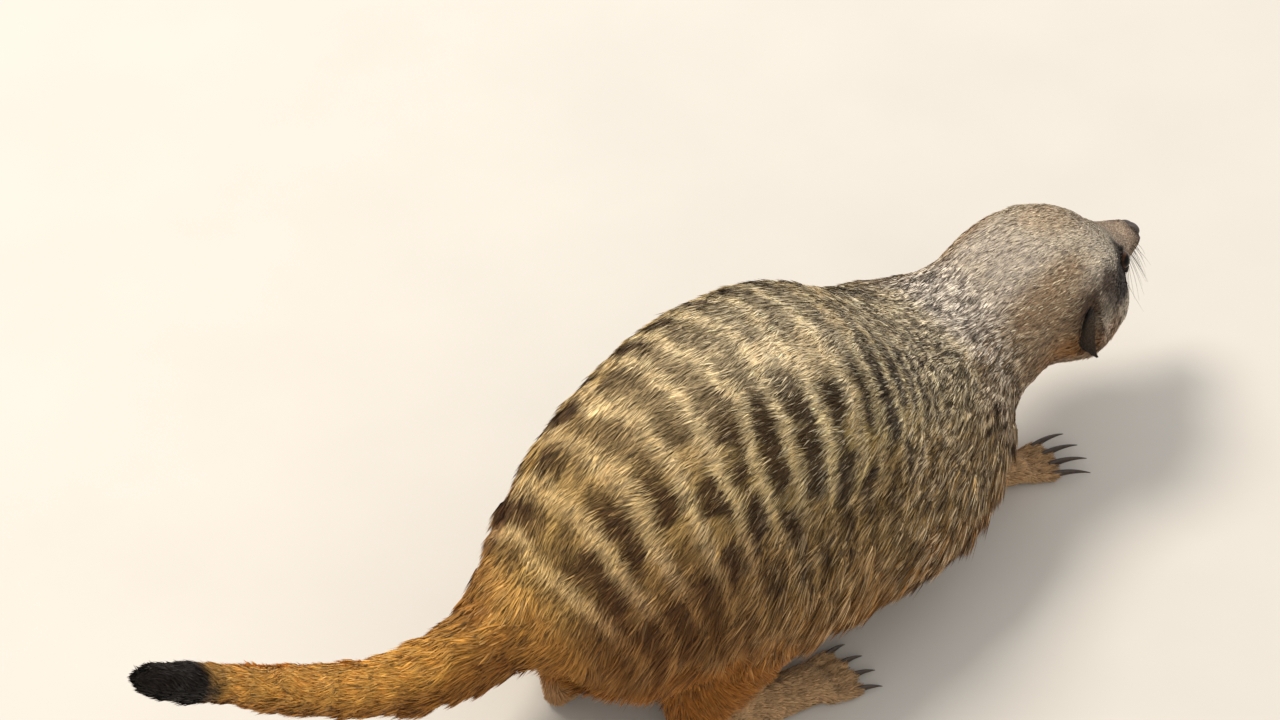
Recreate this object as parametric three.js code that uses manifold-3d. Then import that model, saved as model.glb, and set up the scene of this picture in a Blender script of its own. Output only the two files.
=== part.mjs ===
// A life-size meerkat on four feet with an arched back, modelled out to the tips of its coat.
// Units are millimetres, +Z is up, +X is the way the animal faces and +Y is its left side.
import * as THREE from 'three';
import { mergeVertices } from 'three/addons/utils/BufferGeometryUtils.js';
import Module from 'manifold-3d';

const wasm = await Module();
wasm.setup();

const seam = 0.3; // gap between neighbouring sub-parts
const farAway = 900; // larger than the animal, for cutting blocks
const settleShare = 0.45; // how far a mesh vertex may move onto the surface, as a share of its cell
const joinCap = 0.3; // bulge of a sample past its end, as a share of its girth, where another follows

// Mesh fineness, by the size of the form
const cells = { trunk: 18.5, leg: 17, foot: 10.8, neck: 14, head: 8.6, tail: 9, tailTip: 6 };

// How softly a form runs into the rest of the body
const blends = { trunk: 14, neck: 16, head: 10, cheek: 8, leg: 16, shank: 9, foot: 5, tail: 12 };

// Stations along each form: [x, y, z, half width, half height]
const trunkStations = [
  [-98, 0, 65, 27, 22],
  [-84, -3, 75, 33, 34],
  [-60, -5, 87, 44, 44],
  [-32, -5, 92, 47, 48],
  [-4, -4, 90, 49, 48],
  [24, -3, 78, 48, 43],
  [54, -2, 64, 42, 39],
  [80, 0, 58, 36, 33],
];
const flankStations = [
  [-34, 30, 56, 20, 24],
  [6, 37, 47, 22, 25],
  [42, 38, 43, 21, 24],
  [74, 26, 45, 18, 22],
];
const flankLean = -7; // the belly sags to the animal's right, on its bent side
const neckStations = [
  [62, -1.5, 62, 35.5, 31.5],
  [86, -2, 65.5, 31, 28.5],
  [106, -2.5, 69, 27.5, 26],
];
const tailStations = [
  [-98, 0, 64, 22, 22],
  [-112, 0, 57, 19, 19],
  [-134, 0, 51, 16.5, 16.5],
  [-166, 1, 57, 12.8, 12.8],
  [-208, 3, 82, 10.2, 10.2],
  [-240, 3, 107, 8.8, 8.8],
  [-257, 3, 120, 8.2, 8.2],
  [-265, 3, 126, 6, 6],
];

// The head has its own frame: t runs from the nape to the nose, s to the animal's left, u up.
const headRoot = new THREE.Vector3(115, -4, 69.5);
const headTurn = 0.12; // to the animal's left
const headDip = 0.045; // nose down
const headRoll = 0.12; // right cheek down
const headStations = [
  [-2, 0, 1.5, 27.5, 27],
  [14, 0, 4, 33, 27],
  [30, 0, 2, 32, 26.5],
  [42, 0, -1, 27, 22.3],
  [50, 0, -2.6, 20.3, 16.8],
  [57, 0, -4.6, 14.4, 13.1],
  [66, 0, -5.8, 10.8, 10.6],
  [75, 0, -6.8, 8, 8.2],
];
const cheekStations = [
  [22, 20, -9, 14, 15],
  [40, 17, -11, 12, 12],
];
const eye = { t: 50, s: 15.9, u: 3, radius: 5 };
const ear = { t: 16, s: 33, u: -4, long: 6, thick: 3.2, tall: 11.4, cup: 0.7, splay: 0.8 };
const nose = { t: 78, u: -5.2, long: 3.7, wide: 4.7, tall: 3.6 };

// Legs: the upper, lower and foot stations, the space that the upper length claims, the joint where the
// lower length leaves the body (or below a level, where it hangs clear), the ankle's cut and the toes
const ankleFacing = [0.5, 0, -1]; // the cut between a shank or forearm and its foot
const toeFan = 0.13; // angle between neighbouring toes
const toeSink = 0.83; // height of a toe's middle, as a share of its radius, so that its sole is flat
const toeSetBack = 1.8; // how much further back each outer toe starts
const limbReach = 24; // room round a lower limb's stations when it is meshed
const sleeveGap = 0.5; // how far the body is cleared round a lower limb
const underFloor = 5; // how far below the floor a limb is meshed before the floor cuts it
const claimMargin = 2; // room round the space that an upper length claims when it is meshed
const toeCount = 4;
const hindFoot = { toeLong: 17, toeRadius: 3.2, clawLong: 9, clawRadius: 1.5, spread: 5.4 };
const foreFoot = { toeLong: 15, toeRadius: 2.8, clawLong: 15, clawRadius: 1.6, spread: 4.6 };

// A claw's form, as shares of its own root radius, its length or its root's height
const clawSteps = { rings: 3, sides: 5 };
const clawForm = { sunk: 0.25, hang: 0.6, tipLift: 1.1, curl: 0.72, taper: 0.82, thin: 0.8 };
const clawClear = 0.05; // height of a claw over the floor
const legs = [
  {
    name: 'hind_right',
    joint: { at: [-38, -50, 46], facing: [-0.77, 0, -0.63], level: 31 },
    names: ['thigh', 'shank', 'foot'],
    upper: [[-83, -28, 62, 28, 35], [-54, -43, 63, 23, 32], [-28, -50, 55, 18, 22]],
    lower: [[-28, -50, 55, 15, 19], [-50, -51, 37, 14, 17], [-73, -47, 20, 12, 13]],
    foot: [[-73, -48, 8, 8, 9], [-42, -53, 6, 9, 8.5], [-20, -56, 4.5, 10.6, 6.2]],
    claim: { centre: [-62, -46, 68], size: [52, 32, 46] },
    ankle: [-62, -50, 19],
    toes: hindFoot,
    heading: -0.14,
  },
  {
    name: 'hind_left',
    joint: { at: [-52, 31, 39], facing: [-0.75, -0.46, -0.47], level: 28 },
    names: ['thigh', 'shank', 'foot'],
    upper: [[-76, 16, 66, 24, 30], [-58, 30, 58, 22, 27], [-40, 38, 46, 16, 19]],
    lower: [[-40, 38, 46, 14, 16], [-66, 22, 30, 12, 13], [-90, 4, 18, 9.5, 10]],
    foot: [[-95, -1, 8, 8, 9], [-68, 4, 6, 9, 8.5], [-47, 9, 4.5, 10.6, 6.2]],
    claim: { centre: [-66, 42, 66], size: [50, 32, 46] },
    ankle: [-82, 2, 18],
    toes: hindFoot,
    heading: 0.22,
  },
  {
    name: 'fore_right',
    joint: { at: [64, -32, 31], facing: [0.9, 0.25, -0.36], level: 22 },
    names: ['upper_arm', 'forearm', 'foot'],
    upper: [[72, -24, 60, 17, 26], [60, -32, 48, 15, 21], [48, -36, 38, 13, 16]],
    lower: [[48, -36, 38, 12, 15], [74, -29, 26, 9.8, 11], [96, -21, 17, 7.4, 8]],
    foot: [[98, -20, 8, 7, 8.5], [107, -21, 5.5, 8, 7.6], [115, -22, 4.5, 8.6, 6]],
    claim: { centre: [58, -36, 52], size: [32, 26, 40] },
    ankle: [92, -22, 17],
    toes: foreFoot,
    heading: -0.3,
  },
  {
    name: 'fore_left',
    joint: { at: [56, 34, 30], facing: [0.86, -0.1, -0.45], level: 22 },
    names: ['upper_arm', 'forearm', 'foot'],
    upper: [[72, 24, 60, 17, 26], [56, 32, 48, 14, 20], [42, 36, 38, 12, 15]],
    lower: [[42, 36, 38, 12, 15], [62, 33, 26, 9.6, 10.6], [80, 31, 17, 7.2, 7.8]],
    foot: [[82, 31, 8, 7, 8.5], [92, 33, 5.5, 8, 7.6], [101, 35, 4.5, 8.6, 6]],
    claim: { centre: [56, 36, 52], size: [32, 26, 40] },
    ankle: [76, 31, 17],
    toes: foreFoot,
    heading: 0.2,
  },
];

// Room in which the head and the tail's tip are meshed: two opposite corners
const headRoom = [[92, -50, 24], [204, 46, 110]];
const tailTipRoom = [[-290, -16, 96], [-230, 24, 150]];
const trunkReach = 70; // room round the trunk's middle when it is meshed
const tailReach = 38; // room round the tail's middle when it is meshed

// Cuts across the trunk, neck and tail: a point on each cut and the direction that it faces
const cuts = {
  head: { at: [104, -7, 66], facing: [1, -0.1, 0.05] },
  neck: { at: [84, 0, 60], facing: [1, 0, 0.25] },
  shoulders: { at: [30, 0, 75], facing: [1, 0, -0.35] },
  loins: { at: [-44, 0, 90], facing: [1, 0, 0.05] },
  rump: { at: [-110, 0, 60], facing: [1, 0, 0.35] },
  tailMiddle: { at: [-148, 0, 54], facing: [1, 0, -0.1] },
  tailEnd: { at: [-196, 3, 76], facing: [1, 0, -0.6] },
  tailTip: { at: [-242, 4, 110], facing: [1, 0, -0.75] },
};

const finishes = {
  coat_back: { color: 0x9b8260, roughness: 0.95 },
  coat_grey: { color: 0xa89a86, roughness: 0.95 },
  coat_tan: { color: 0xb98a50, roughness: 0.95 },
  coat_dark: { color: 0x2a211c, roughness: 0.95 },
  skin_foot: { color: 0xa98966, roughness: 0.9 },
  ear_skin: { color: 0x1d1a18, roughness: 0.9 },
  eyeball: { color: 0x1a100a, roughness: 0.1 },
  nose_pad: { color: 0x2b2523, roughness: 0.5 },
  claw_horn: { color: 0x241c17, roughness: 0.45 },
};

function material(finish) {
  return new THREE.MeshStandardMaterial({ ...finishes[finish], metalness: 0 });
}

// Turns stations into closely spaced samples along a smooth curve.
function sweep(stations, blend) {
  const steps = 4 * (stations.length - 1);
  const path = new THREE.CatmullRomCurve3(stations.map(([x, y, z]) => new THREE.Vector3(x, y, z)));
  const girth = new THREE.CatmullRomCurve3(stations.map(([, , , w, h]) => new THREE.Vector3(w, h, 0)));
  const samples = [];
  for (let i = 0; i <= steps; i++) {
    samples.push({ centre: path.getPoint(i / steps), girth: girth.getPoint(i / steps) });
  }
  const pieces = [];
  for (let i = 0; i < steps; i++) {
    const axis = samples[i + 1].centre.clone().sub(samples[i].centre);
    const along = axis.clone().normalize();
    const side = new THREE.Vector3(0, 0, 1).cross(along).normalize();
    const up = along.clone().cross(side);
    pieces.push({
      start: samples[i].centre,
      axis,
      reach: axis.lengthSq(),
      along,
      side,
      up,
      freeEnd: { 0: 0, [steps - 1]: 1 }[i],
      girth: samples[i].girth,
      nextGirth: samples[i + 1].girth,
    });
  }
  return { pieces, blend };
}

// How far a point lies outside one swept form, negative inside.
function distanceTo(form, point) {
  let nearest = Infinity;
  const offset = new THREE.Vector3();
  for (const piece of form.pieces) {
    offset.copy(point).sub(piece.start);
    const share = THREE.MathUtils.clamp(offset.dot(piece.axis) / piece.reach, 0, 1);
    const wide = THREE.MathUtils.lerp(piece.girth.x, piece.nextGirth.x, share);
    const tall = THREE.MathUtils.lerp(piece.girth.y, piece.nextGirth.y, share);
    offset.addScaledVector(piece.axis, -share);
    const round = Math.min(wide, tall);
    const cap = round * (share === piece.freeEnd ? 1 : joinCap);
    const size = Math.hypot(
      offset.dot(piece.side) / wide,
      offset.dot(piece.up) / tall,
      offset.dot(piece.along) / cap,
    );
    nearest = Math.min(nearest, (size - 1) * round);
  }
  return nearest;
}

// Joins two distances with a fillet.
function softUnion(a, b, blend) {
  const mix = Math.max(blend - Math.abs(a - b), 0) / blend;
  return Math.min(a, b) - (mix * mix * blend) / 4;
}

// The head's own frame, and a point or an object placed in it
const headFrame = new THREE.Matrix4()
  .makeRotationFromEuler(new THREE.Euler(-headRoll, headDip, headTurn, 'ZYX'))
  .setPosition(headRoot);

function onHead(t, s, u) {
  return new THREE.Vector3(t, s, u).applyMatrix4(headFrame);
}

const headPath = headStations.map(([t, s, u, wide, tall]) => [...onHead(t, s, u), wide, tall]);

function legForms(leg) {
  return [sweep(leg.upper, blends.leg), sweep(leg.lower, blends.shank), sweep(leg.foot, blends.foot)];
}

function flankForm(sign) {
  const stations = flankStations.map(([x, y, z, wide, tall]) => [x, sign * y + flankLean, z, wide, tall]);
  return sweep(stations, blends.trunk);
}

function cheekForm(sign) {
  const stations = cheekStations.map(([t, s, u, wide, tall]) => [...onHead(t, sign * s, u), wide, tall]);
  return sweep(stations, blends.cheek);
}

// The trunk with the thighs and upper arms; the limbs below them are meshed one by one
const trunkForms = [
  sweep(trunkStations, blends.trunk),
  flankForm(1),
  flankForm(-1),
  sweep(neckStations, blends.neck),
  sweep(headPath, blends.head),
  cheekForm(1),
  cheekForm(-1),
  sweep(tailStations, blends.tail),
  ...legs.map((leg) => legForms(leg)[0]),
];

function distanceToAll(forms, point) {
  return forms.reduce((sum, form) => softUnion(sum, distanceTo(form, point), form.blend), farAway);
}

// The direction in which the body's distance grows, and the distance itself.
function slopeAt(forms, point) {
  const step = 0.3;
  const here = distanceToAll(forms, point);
  const slope = new THREE.Vector3();
  for (let axis = 0; axis < 3; axis++) {
    const beside = point.clone();
    beside.setComponent(axis, point.getComponent(axis) + step);
    slope.setComponent(axis, (distanceToAll(forms, beside) - here) / step);
  }
  return { here, slope };
}

// Corners of a unit cell, numbered so that bit n is the step along axis n
const cellCorners = [0, 1, 2, 3, 4, 5, 6, 7].map((n) => [n & 1, (n >> 1) & 1, (n >> 2) & 1]);
const edgeKey = (a, b) => 8 * Math.min(a, b) + Math.max(a, b);
const cellFaces = [1, 2, 4].flatMap((bit) => {
  const [p, q] = [1, 2, 4].filter((other) => other !== bit);
  return [0, bit].map((base) => [base, base + p, base + p + q, base + q]);
});

// The loops in which a surface crosses a cell's edges, where touching corners of the inside stay apart.
function cellLoops(inside) {
  const loopOf = new Map();
  const join = (first, second) => {
    const [kept, gone] = [loopOf.get(first) ?? first, loopOf.get(second) ?? second];
    loopOf.set(first, kept).set(second, kept);
    for (const [edge, loop] of loopOf) {
      if (loop === gone) loopOf.set(edge, kept);
    }
  };
  for (const face of cellFaces) {
    const edges = face.map((corner, n) => [corner, face[(n + 1) % 4]]);
    const crossed = edges.filter(([a, b]) => inside[a] !== inside[b]);
    if (crossed.length === 2) join(edgeKey(...crossed[0]), edgeKey(...crossed[1]));
    if (crossed.length < 4) continue;
    face.forEach((corner, n) => {
      if (inside[corner]) join(edgeKey(corner, face[(n + 1) % 4]), edgeKey(corner, face[(n + 3) % 4]));
    });
  }
  return loopOf;
}

// The middle of the points at which the surface crosses the edges of one loop, in cell units
function loopMiddle(loopOf, loop, found) {
  const middle = new THREE.Vector3();
  let count = 0;
  for (const [edge, owner] of loopOf) {
    if (owner !== loop) continue;
    const [a, b] = [edge >> 3, edge & 7];
    const start = new THREE.Vector3(...cellCorners[a]);
    middle.add(start.lerp(new THREE.Vector3(...cellCorners[b]), found[a] / (found[a] - found[b])));
    count += 1;
  }
  return middle.divideScalar(count);
}

// Meshes forms inside a box as a closed surface net: a vertex for each loop in which the surface
// crosses a cell, moved onto the surface, and a quad for each grid edge that it crosses.
function meshForms(box, cell, forms) {
  const size = box.getSize(new THREE.Vector3());
  const counts = [size.x, size.y, size.z].map((length) => Math.ceil(length / cell) + 3);
  const [nx, ny, nz] = counts;
  const origin = box.min.clone().subScalar(cell);
  const index = (i, j, k) => i + nx * (j + ny * k);
  const at = (i, j, k) => new THREE.Vector3(i, j, k).multiplyScalar(cell).add(origin);
  const values = new Float32Array(nx * ny * nz);
  const everyCell = (ends, visit) => {
    for (let k = 0; k < ends[2]; k++) {
      for (let j = 0; j < ends[1]; j++) {
        for (let i = 0; i < ends[0]; i++) visit(i, j, k);
      }
    }
  };
  everyCell(counts, (i, j, k) => {
    const rim = [i, j, k].some((n, axis) => n === 0 || n === counts[axis] - 1);
    values[index(i, j, k)] = rim ? cell : distanceToAll(forms, at(i, j, k));
  });
  const cellEnds = counts.map((count) => count - 1);
  const vertexOf = new Map();
  const positions = [];
  everyCell(cellEnds, (i, j, k) => {
    const found = cellCorners.map(([a, b, c]) => values[index(i + a, j + b, k + c)]);
    const loopOf = cellLoops(found.map((value) => value < 0));
    const onRim = [i, j, k].some((n, axis) => n === 0 || n === counts[axis] - 2);
    for (const loop of new Set(loopOf.values())) {
      const vertex = at(i, j, k).addScaledVector(loopMiddle(loopOf, loop, found), cell);
      if (!onRim) settle(forms, vertex, cell * settleShare);
      for (const [edge, owner] of loopOf) {
        if (owner === loop) vertexOf.set(64 * index(i, j, k) + edge, positions.length / 3);
      }
      positions.push(...vertex);
    }
  });
  const faces = [];
  const steps = [[1, 0, 0], [0, 1, 0], [0, 0, 1]];
  everyCell(cellEnds, (i, j, k) => {
    steps.forEach(([a, b, c], axis) => {
      if ([i, j, k].some((n, other) => other !== axis && n === 0)) return;
      const inside = values[index(i, j, k)] < 0;
      if (inside === values[index(i + a, j + b, k + c)] < 0) return;
      const [first, second] = [(axis + 1) % 3, (axis + 2) % 3];
      const around = [[0, 0], [1, 0], [1, 1], [0, 1]].map(([m, n]) => {
        const [p, q] = [steps[first], steps[second]];
        const owner = index(i - m * p[0] - n * q[0], j - m * p[1] - n * q[1], k - m * p[2] - n * q[2]);
        const corner = (m << first) | (n << second);
        return vertexOf.get(64 * owner + edgeKey(corner, corner | (1 << axis)));
      });
      const ring = inside ? around : around.reverse();
      faces.push(ring[0], ring[1], ring[2], ring[0], ring[2], ring[3]);
    });
  });
  const geometry = new THREE.BufferGeometry();
  geometry.setAttribute('position', new THREE.Float32BufferAttribute(positions, 3));
  geometry.setIndex(faces);
  return solid(geometry);
}

// Moves a vertex onto the surface of the forms, by no more than the given reach.
function settle(forms, vertex, reach) {
  const flattest = 0.2; // least squared slope that a step trusts
  const start = vertex.clone();
  for (let pass = 0; pass < 3; pass++) {
    const { here, slope } = slopeAt(forms, vertex);
    vertex.addScaledVector(slope, -here / Math.max(slope.lengthSq(), flattest));
  }
  const moved = vertex.clone().sub(start).clampLength(0, reach);
  vertex.copy(start).add(moved);
}

// A closed three.js geometry as a solid that can be joined and cut.
function solid(geometry, matrix = new THREE.Matrix4()) {
  const bare = geometry.clone().applyMatrix4(matrix);
  bare.deleteAttribute('normal');
  bare.deleteAttribute('uv');
  const merged = mergeVertices(bare, 1e-3);
  return new wasm.Manifold(
    new wasm.Mesh({
      numProp: 3,
      vertProperties: new Float32Array(merged.attributes.position.array),
      triVerts: new Uint32Array(merged.index.array),
    }),
  );
}

// A solid back as a geometry, keeping only its largest connected body.
function geometryOf(shape) {
  const { vertProperties, triVerts } = shape.getMesh();
  const parent = Array.from({ length: vertProperties.length / 3 }, (_, n) => n);
  const rootOf = (n) => {
    while (parent[n] !== n) n = parent[n] = parent[parent[n]];
    return n;
  };
  for (let n = 0; n < triVerts.length; n += 3) {
    parent[rootOf(triVerts[n])] = rootOf(triVerts[n + 1]);
    parent[rootOf(triVerts[n + 1])] = rootOf(triVerts[n + 2]);
  }
  const faces = new Map();
  for (let n = 0; n < triVerts.length; n += 3) {
    const owner = rootOf(triVerts[n]);
    if (!faces.has(owner)) faces.set(owner, []);
    faces.get(owner).push(...triVerts.slice(n, n + 3));
  }
  const largest = [...faces.values()].sort((a, b) => b.length - a.length)[0];
  const geometry = new THREE.BufferGeometry();
  geometry.setAttribute('position', new THREE.Float32BufferAttribute(vertProperties, 3));
  geometry.setIndex(largest);
  const compact = mergeVertices(geometry.toNonIndexed(), 1e-4);
  compact.computeVertexNormals();
  return compact;
}

// A block that fills all space on one side of a plane, set back by half the seam.
function beyond(cut, sign) {
  const normal = new THREE.Vector3(...cut.facing).normalize().multiplyScalar(sign);
  const turn = new THREE.Quaternion().setFromUnitVectors(new THREE.Vector3(0, 0, 1), normal);
  const centre = new THREE.Vector3(...cut.at).addScaledVector(normal, (farAway + seam) / 2);
  const place = new THREE.Matrix4().compose(centre, turn, new THREE.Vector3(1, 1, 1));
  return solid(new THREE.BoxGeometry(farAway, farAway, farAway), place);
}

// An ellipsoid with the given half sizes, grown all round by a clearance.
function ellipsoid(centre, size, clearance = 0, turn = new THREE.Quaternion(), detail = 20) {
  const half = new THREE.Vector3(...size).addScalar(clearance);
  const place = new THREE.Matrix4().compose(new THREE.Vector3(...centre), turn, half);
  return solid(new THREE.SphereGeometry(1, detail, Math.round(detail * 0.6)), place);
}

function boxOf(min, max) {
  return new THREE.Box3(new THREE.Vector3(...min), new THREE.Vector3(...max));
}

const floorBlock = solid(
  new THREE.BoxGeometry(farAway, farAway, farAway),
  new THREE.Matrix4().makeTranslation(0, 0, farAway / 2),
);

// A box round the given stations, from just under the floor to a top, grown by a clearance.
function boxRound(stations, top, reach) {
  const low = [0, 1].map((axis) => Math.min(...stations.map((station) => station[axis])) - reach);
  const high = [0, 1].map((axis) => Math.max(...stations.map((station) => station[axis])) + reach);
  return boxOf([...low, -underFloor], [...high, top]);
}

// All space below a level
function below(level) {
  const place = new THREE.Matrix4().makeTranslation(0, 0, level - farAway / 2);
  return solid(new THREE.BoxGeometry(farAway, farAway, farAway), place);
}

// A closed shape with each corner pushed outwards.
function grown(shape, distance) {
  const geometry = geometryOf(shape);
  const { position, normal } = geometry.attributes;
  const corner = new THREE.Vector3();
  const outward = new THREE.Vector3();
  for (let n = 0; n < position.count; n++) {
    outward.fromBufferAttribute(normal, n);
    corner.fromBufferAttribute(position, n).addScaledVector(outward, distance);
    position.setXYZ(n, ...corner);
  }
  return solid(geometry);
}

// A leg's lower length and foot outside the body, and the sleeve of space round them
function limbAndSleeve(leg) {
  const stations = [...leg.lower, ...leg.foot];
  const top = Math.max(...stations.map(([, , z]) => z));
  const whole = meshForms(boxRound(stations, top + limbReach, limbReach), cells.foot, legForms(leg).slice(1));
  const { at, facing, level } = leg.joint;
  const reach = new THREE.Vector3(...facing).setLength(seam);
  const setBack = new THREE.Vector3(...at).sub(reach).toArray();
  const limb = whole.intersect(beyond({ at, facing }, 1).add(below(level)));
  const room = beyond({ at: setBack, facing }, 1).add(below(level + seam));
  return { limb: limb.intersect(floorBlock), sleeve: grown(whole, sleeveGap).intersect(room) };
}

const group = new THREE.Group();

function addPart(name, shape, finish) {
  const mesh = new THREE.Mesh(geometryOf(shape), material(finish));
  mesh.name = name;
  group.add(mesh);
}

// One toe with its claw: the toe lengthens the foot, and the claw curves down from the toe's end.
function toeShapes(leg, number) {
  const { toeLong, toeRadius, clawLong, clawRadius, spread } = leg.toes;
  const offset = number - (toeCount - 1) / 2;
  const heading = leg.heading + offset * toeFan;
  const forward = new THREE.Vector3(Math.cos(heading), Math.sin(heading), 0);
  const across = new THREE.Vector3(-Math.sin(leg.heading), Math.cos(leg.heading), 0);
  const [x, y] = leg.foot.at(-1);
  const root = new THREE.Vector3(x, y, toeRadius * toeSink)
    .addScaledVector(across, offset * spread)
    .addScaledVector(forward, -toeSetBack * Math.abs(offset));
  const toeTurn = new THREE.Quaternion().setFromUnitVectors(new THREE.Vector3(0, 1, 0), forward);
  const toeCentre = root.clone().addScaledVector(forward, toeLong / 2);
  const toe = solid(
    new THREE.CapsuleGeometry(toeRadius, toeLong - toeRadius, 1, 6),
    new THREE.Matrix4().compose(toeCentre, toeTurn, new THREE.Vector3(1, 1, 1)),
  );
  const clawRoot = root.clone().addScaledVector(forward, toeLong + toeRadius * 0.1);
  return { toe, clawRoot, forward, clawLong, clawRadius };
}

// A claw is a short horn, thickest at its root, that bends down towards the ground.
function claw({ clawRoot, forward, clawLong, clawRadius }, clearance = 0) {
  const { rings, sides } = clawSteps;
  const { sunk, hang, tipLift, curl, taper, thin } = clawForm;
  const side = new THREE.Vector3(0, 0, 1).cross(forward);
  const positions = [];
  for (let ring = 0; ring <= rings; ring++) {
    const share = ring / rings;
    const bend = (clawRoot.z - clawRadius * tipLift) * curl * share ** 2;
    const centre = clawRoot.clone().addScaledVector(forward, clawLong * (share - sunk));
    centre.z -= clawRadius * hang + bend;
    const radius = clawRadius * (1 - taper * share ** 1.4) + clearance;
    for (let n = 0; n < sides; n++) {
      const angle = (2 * Math.PI * n) / sides;
      const point = centre.clone().addScaledVector(side, radius * thin * Math.cos(angle));
      point.z = Math.max(point.z + radius * Math.sin(angle), clawClear);
      positions.push(...point);
    }
  }
  const faces = [];
  for (let ring = 0; ring < rings; ring++) {
    for (let n = 0; n < sides; n++) {
      const a = ring * sides + n;
      const b = ring * sides + ((n + 1) % sides);
      faces.push(a, b + sides, b, a, a + sides, b + sides);
    }
  }
  for (let n = 1; n < sides - 1; n++) {
    faces.push(0, n, n + 1);
    const last = rings * sides;
    faces.push(last, last + n + 1, last + n);
  }
  const geometry = new THREE.BufferGeometry();
  geometry.setAttribute('position', new THREE.Float32BufferAttribute(positions, 3));
  geometry.setIndex(faces);
  const shape = solid(geometry);
  return shape.volume() < 0 ? solid(geometry.setIndex([...faces].reverse())) : shape;
}

// Head: braincase, cheeks and muzzle, with sockets for the eyes, ears and nose pad
function headTilt(sideways) {
  const lean = new THREE.Quaternion().setFromEuler(new THREE.Euler(0, 0, sideways));
  return new THREE.Quaternion().setFromRotationMatrix(headFrame).multiply(lean);
}

function earShape(sign, clearance = 0) {
  const centre = onHead(ear.t, sign * ear.s, ear.u);
  const turn = headTilt(-sign * ear.splay);
  const shell = ellipsoid(centre, [ear.long, ear.thick, ear.tall], clearance, turn, 10);
  if (clearance > 0) return shell;
  const outward = new THREE.Vector3(0.55, sign * 0.85, 0).applyQuaternion(turn);
  const cupCentre = centre.clone().addScaledVector(outward, ear.thick * 1.15);
  const cupSize = [ear.long, ear.thick, ear.tall].map((length) => length * ear.cup);
  return shell.subtract(ellipsoid(cupCentre, cupSize, 0, turn, 8));
}

function eyeShape(sign, clearance = 0) {
  const size = [eye.radius, eye.radius, eye.radius];
  return ellipsoid(onHead(eye.t, sign * eye.s, eye.u), size, clearance, undefined, 10);
}

function noseShape(clearance = 0) {
  return ellipsoid(onHead(nose.t, 0, nose.u), [nose.long, nose.wide, nose.tall], clearance, headTilt(0), 8);
}

function buildHead() {
  let head = meshForms(boxOf(...headRoom), cells.head, trunkForms).intersect(beyond(cuts.head, 1));
  for (const [side, sign] of [['left', 1], ['right', -1]]) {
    head = head.subtract(earShape(sign, seam)).subtract(eyeShape(sign, seam));
    addPart('ear_' + side, earShape(sign), 'ear_skin');
    addPart('eye_' + side, eyeShape(sign), 'eyeball');
  }
  addPart('nose', noseShape(), 'nose_pad');
  addPart('head', head.subtract(noseShape(seam)), 'coat_grey');
}

// One leg: the upper length inside an ellipsoid, then the lower length and the foot with its toes
function buildLeg(leg) {
  const [upperName, lowerName, footName] = leg.names.map((name) => name + '_' + leg.name);
  const { centre, size } = leg.claim;
  const bulge = new THREE.Vector3(...size);
  const upperBox = new THREE.Box3(
    new THREE.Vector3(...centre).sub(bulge),
    new THREE.Vector3(...centre).add(bulge),
  ).expandByScalar(claimMargin);
  const { limb, sleeve } = limbs.get(leg);
  const upper = meshForms(upperBox, cells.leg, trunkForms)
    .intersect(ellipsoid(centre, size, 0, undefined, 12))
    .subtract(sleeve);
  addPart(upperName, upper, leg.toes === hindFoot ? 'coat_back' : 'coat_tan');

  const ankle = { at: leg.ankle, facing: ankleFacing };
  let foot = limb.intersect(beyond(ankle, 1));
  addPart(lowerName, limb.intersect(beyond(ankle, -1)), 'coat_tan');
  for (let number = 0; number < toeCount; number++) {
    const shapes = toeShapes(leg, number);
    foot = foot.add(shapes.toe.intersect(floorBlock)).subtract(claw(shapes, seam));
    addPart('claw_' + leg.name + '_' + (number + 1), claw(shapes), 'claw_horn');
  }
  addPart(footName, foot, 'skin_foot');
}

// Trunk: shoulders, loins and rump, less what the legs claim
function buildTrunk() {
  const lengths = [
    ['neck', cuts.neck, cuts.head, cells.neck, 'coat_grey'],
    ['shoulders', cuts.shoulders, cuts.neck, cells.trunk, 'coat_back'],
    ['loins', cuts.loins, cuts.shoulders, cells.trunk, 'coat_back'],
    ['rump', cuts.rump, cuts.loins, cells.trunk, 'coat_back'],
    ['tail_root', cuts.tailMiddle, cuts.rump, cells.tail, 'coat_tan'],
    ['tail_middle', cuts.tailEnd, cuts.tailMiddle, cells.tail, 'coat_tan'],
    ['tail_end', cuts.tailTip, cuts.tailEnd, cells.tail, 'coat_tan'],
  ];
  for (const [name, back, front, cell, finish] of lengths) {
    const reach = name.startsWith('tail') ? tailReach : trunkReach;
    const middle = (back.at[2] + front.at[2]) / 2;
    const box = boxOf(
      [back.at[0] - reach / 2, -reach, Math.max(middle - reach, -8)],
      [front.at[0] + reach / 2, reach, middle + reach],
    );
    let length = meshForms(box, cell, trunkForms)
      .intersect(beyond(back, 1))
      .intersect(beyond(front, -1));
    for (const leg of legs) {
      length = length
        .subtract(ellipsoid(leg.claim.centre, leg.claim.size, seam, undefined, 12))
        .subtract(limbs.get(leg).sleeve);
    }
    addPart(name, length, finish);
  }
}

function buildTailTip() {
  const tip = meshForms(boxOf(...tailTipRoom), cells.tailTip, trunkForms);
  addPart('tail_tip', tip.intersect(beyond(cuts.tailTip, -1)), 'coat_dark');
}

const limbs = new Map(legs.map((leg) => [leg, limbAndSleeve(leg)]));
buildHead();
buildTrunk();
buildTailTip();
legs.forEach(buildLeg);

// The origin is on the floor under the middle of the animal's bounding box.
const bounds = new THREE.Box3().setFromObject(group);
const middle = bounds.getCenter(new THREE.Vector3());
group.position.set(-middle.x, -middle.y, -bounds.min.z);

export default group;
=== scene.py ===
# A meerkat on all fours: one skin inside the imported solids, with eyes, nose, claws, whiskers and coat.
import math

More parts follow.
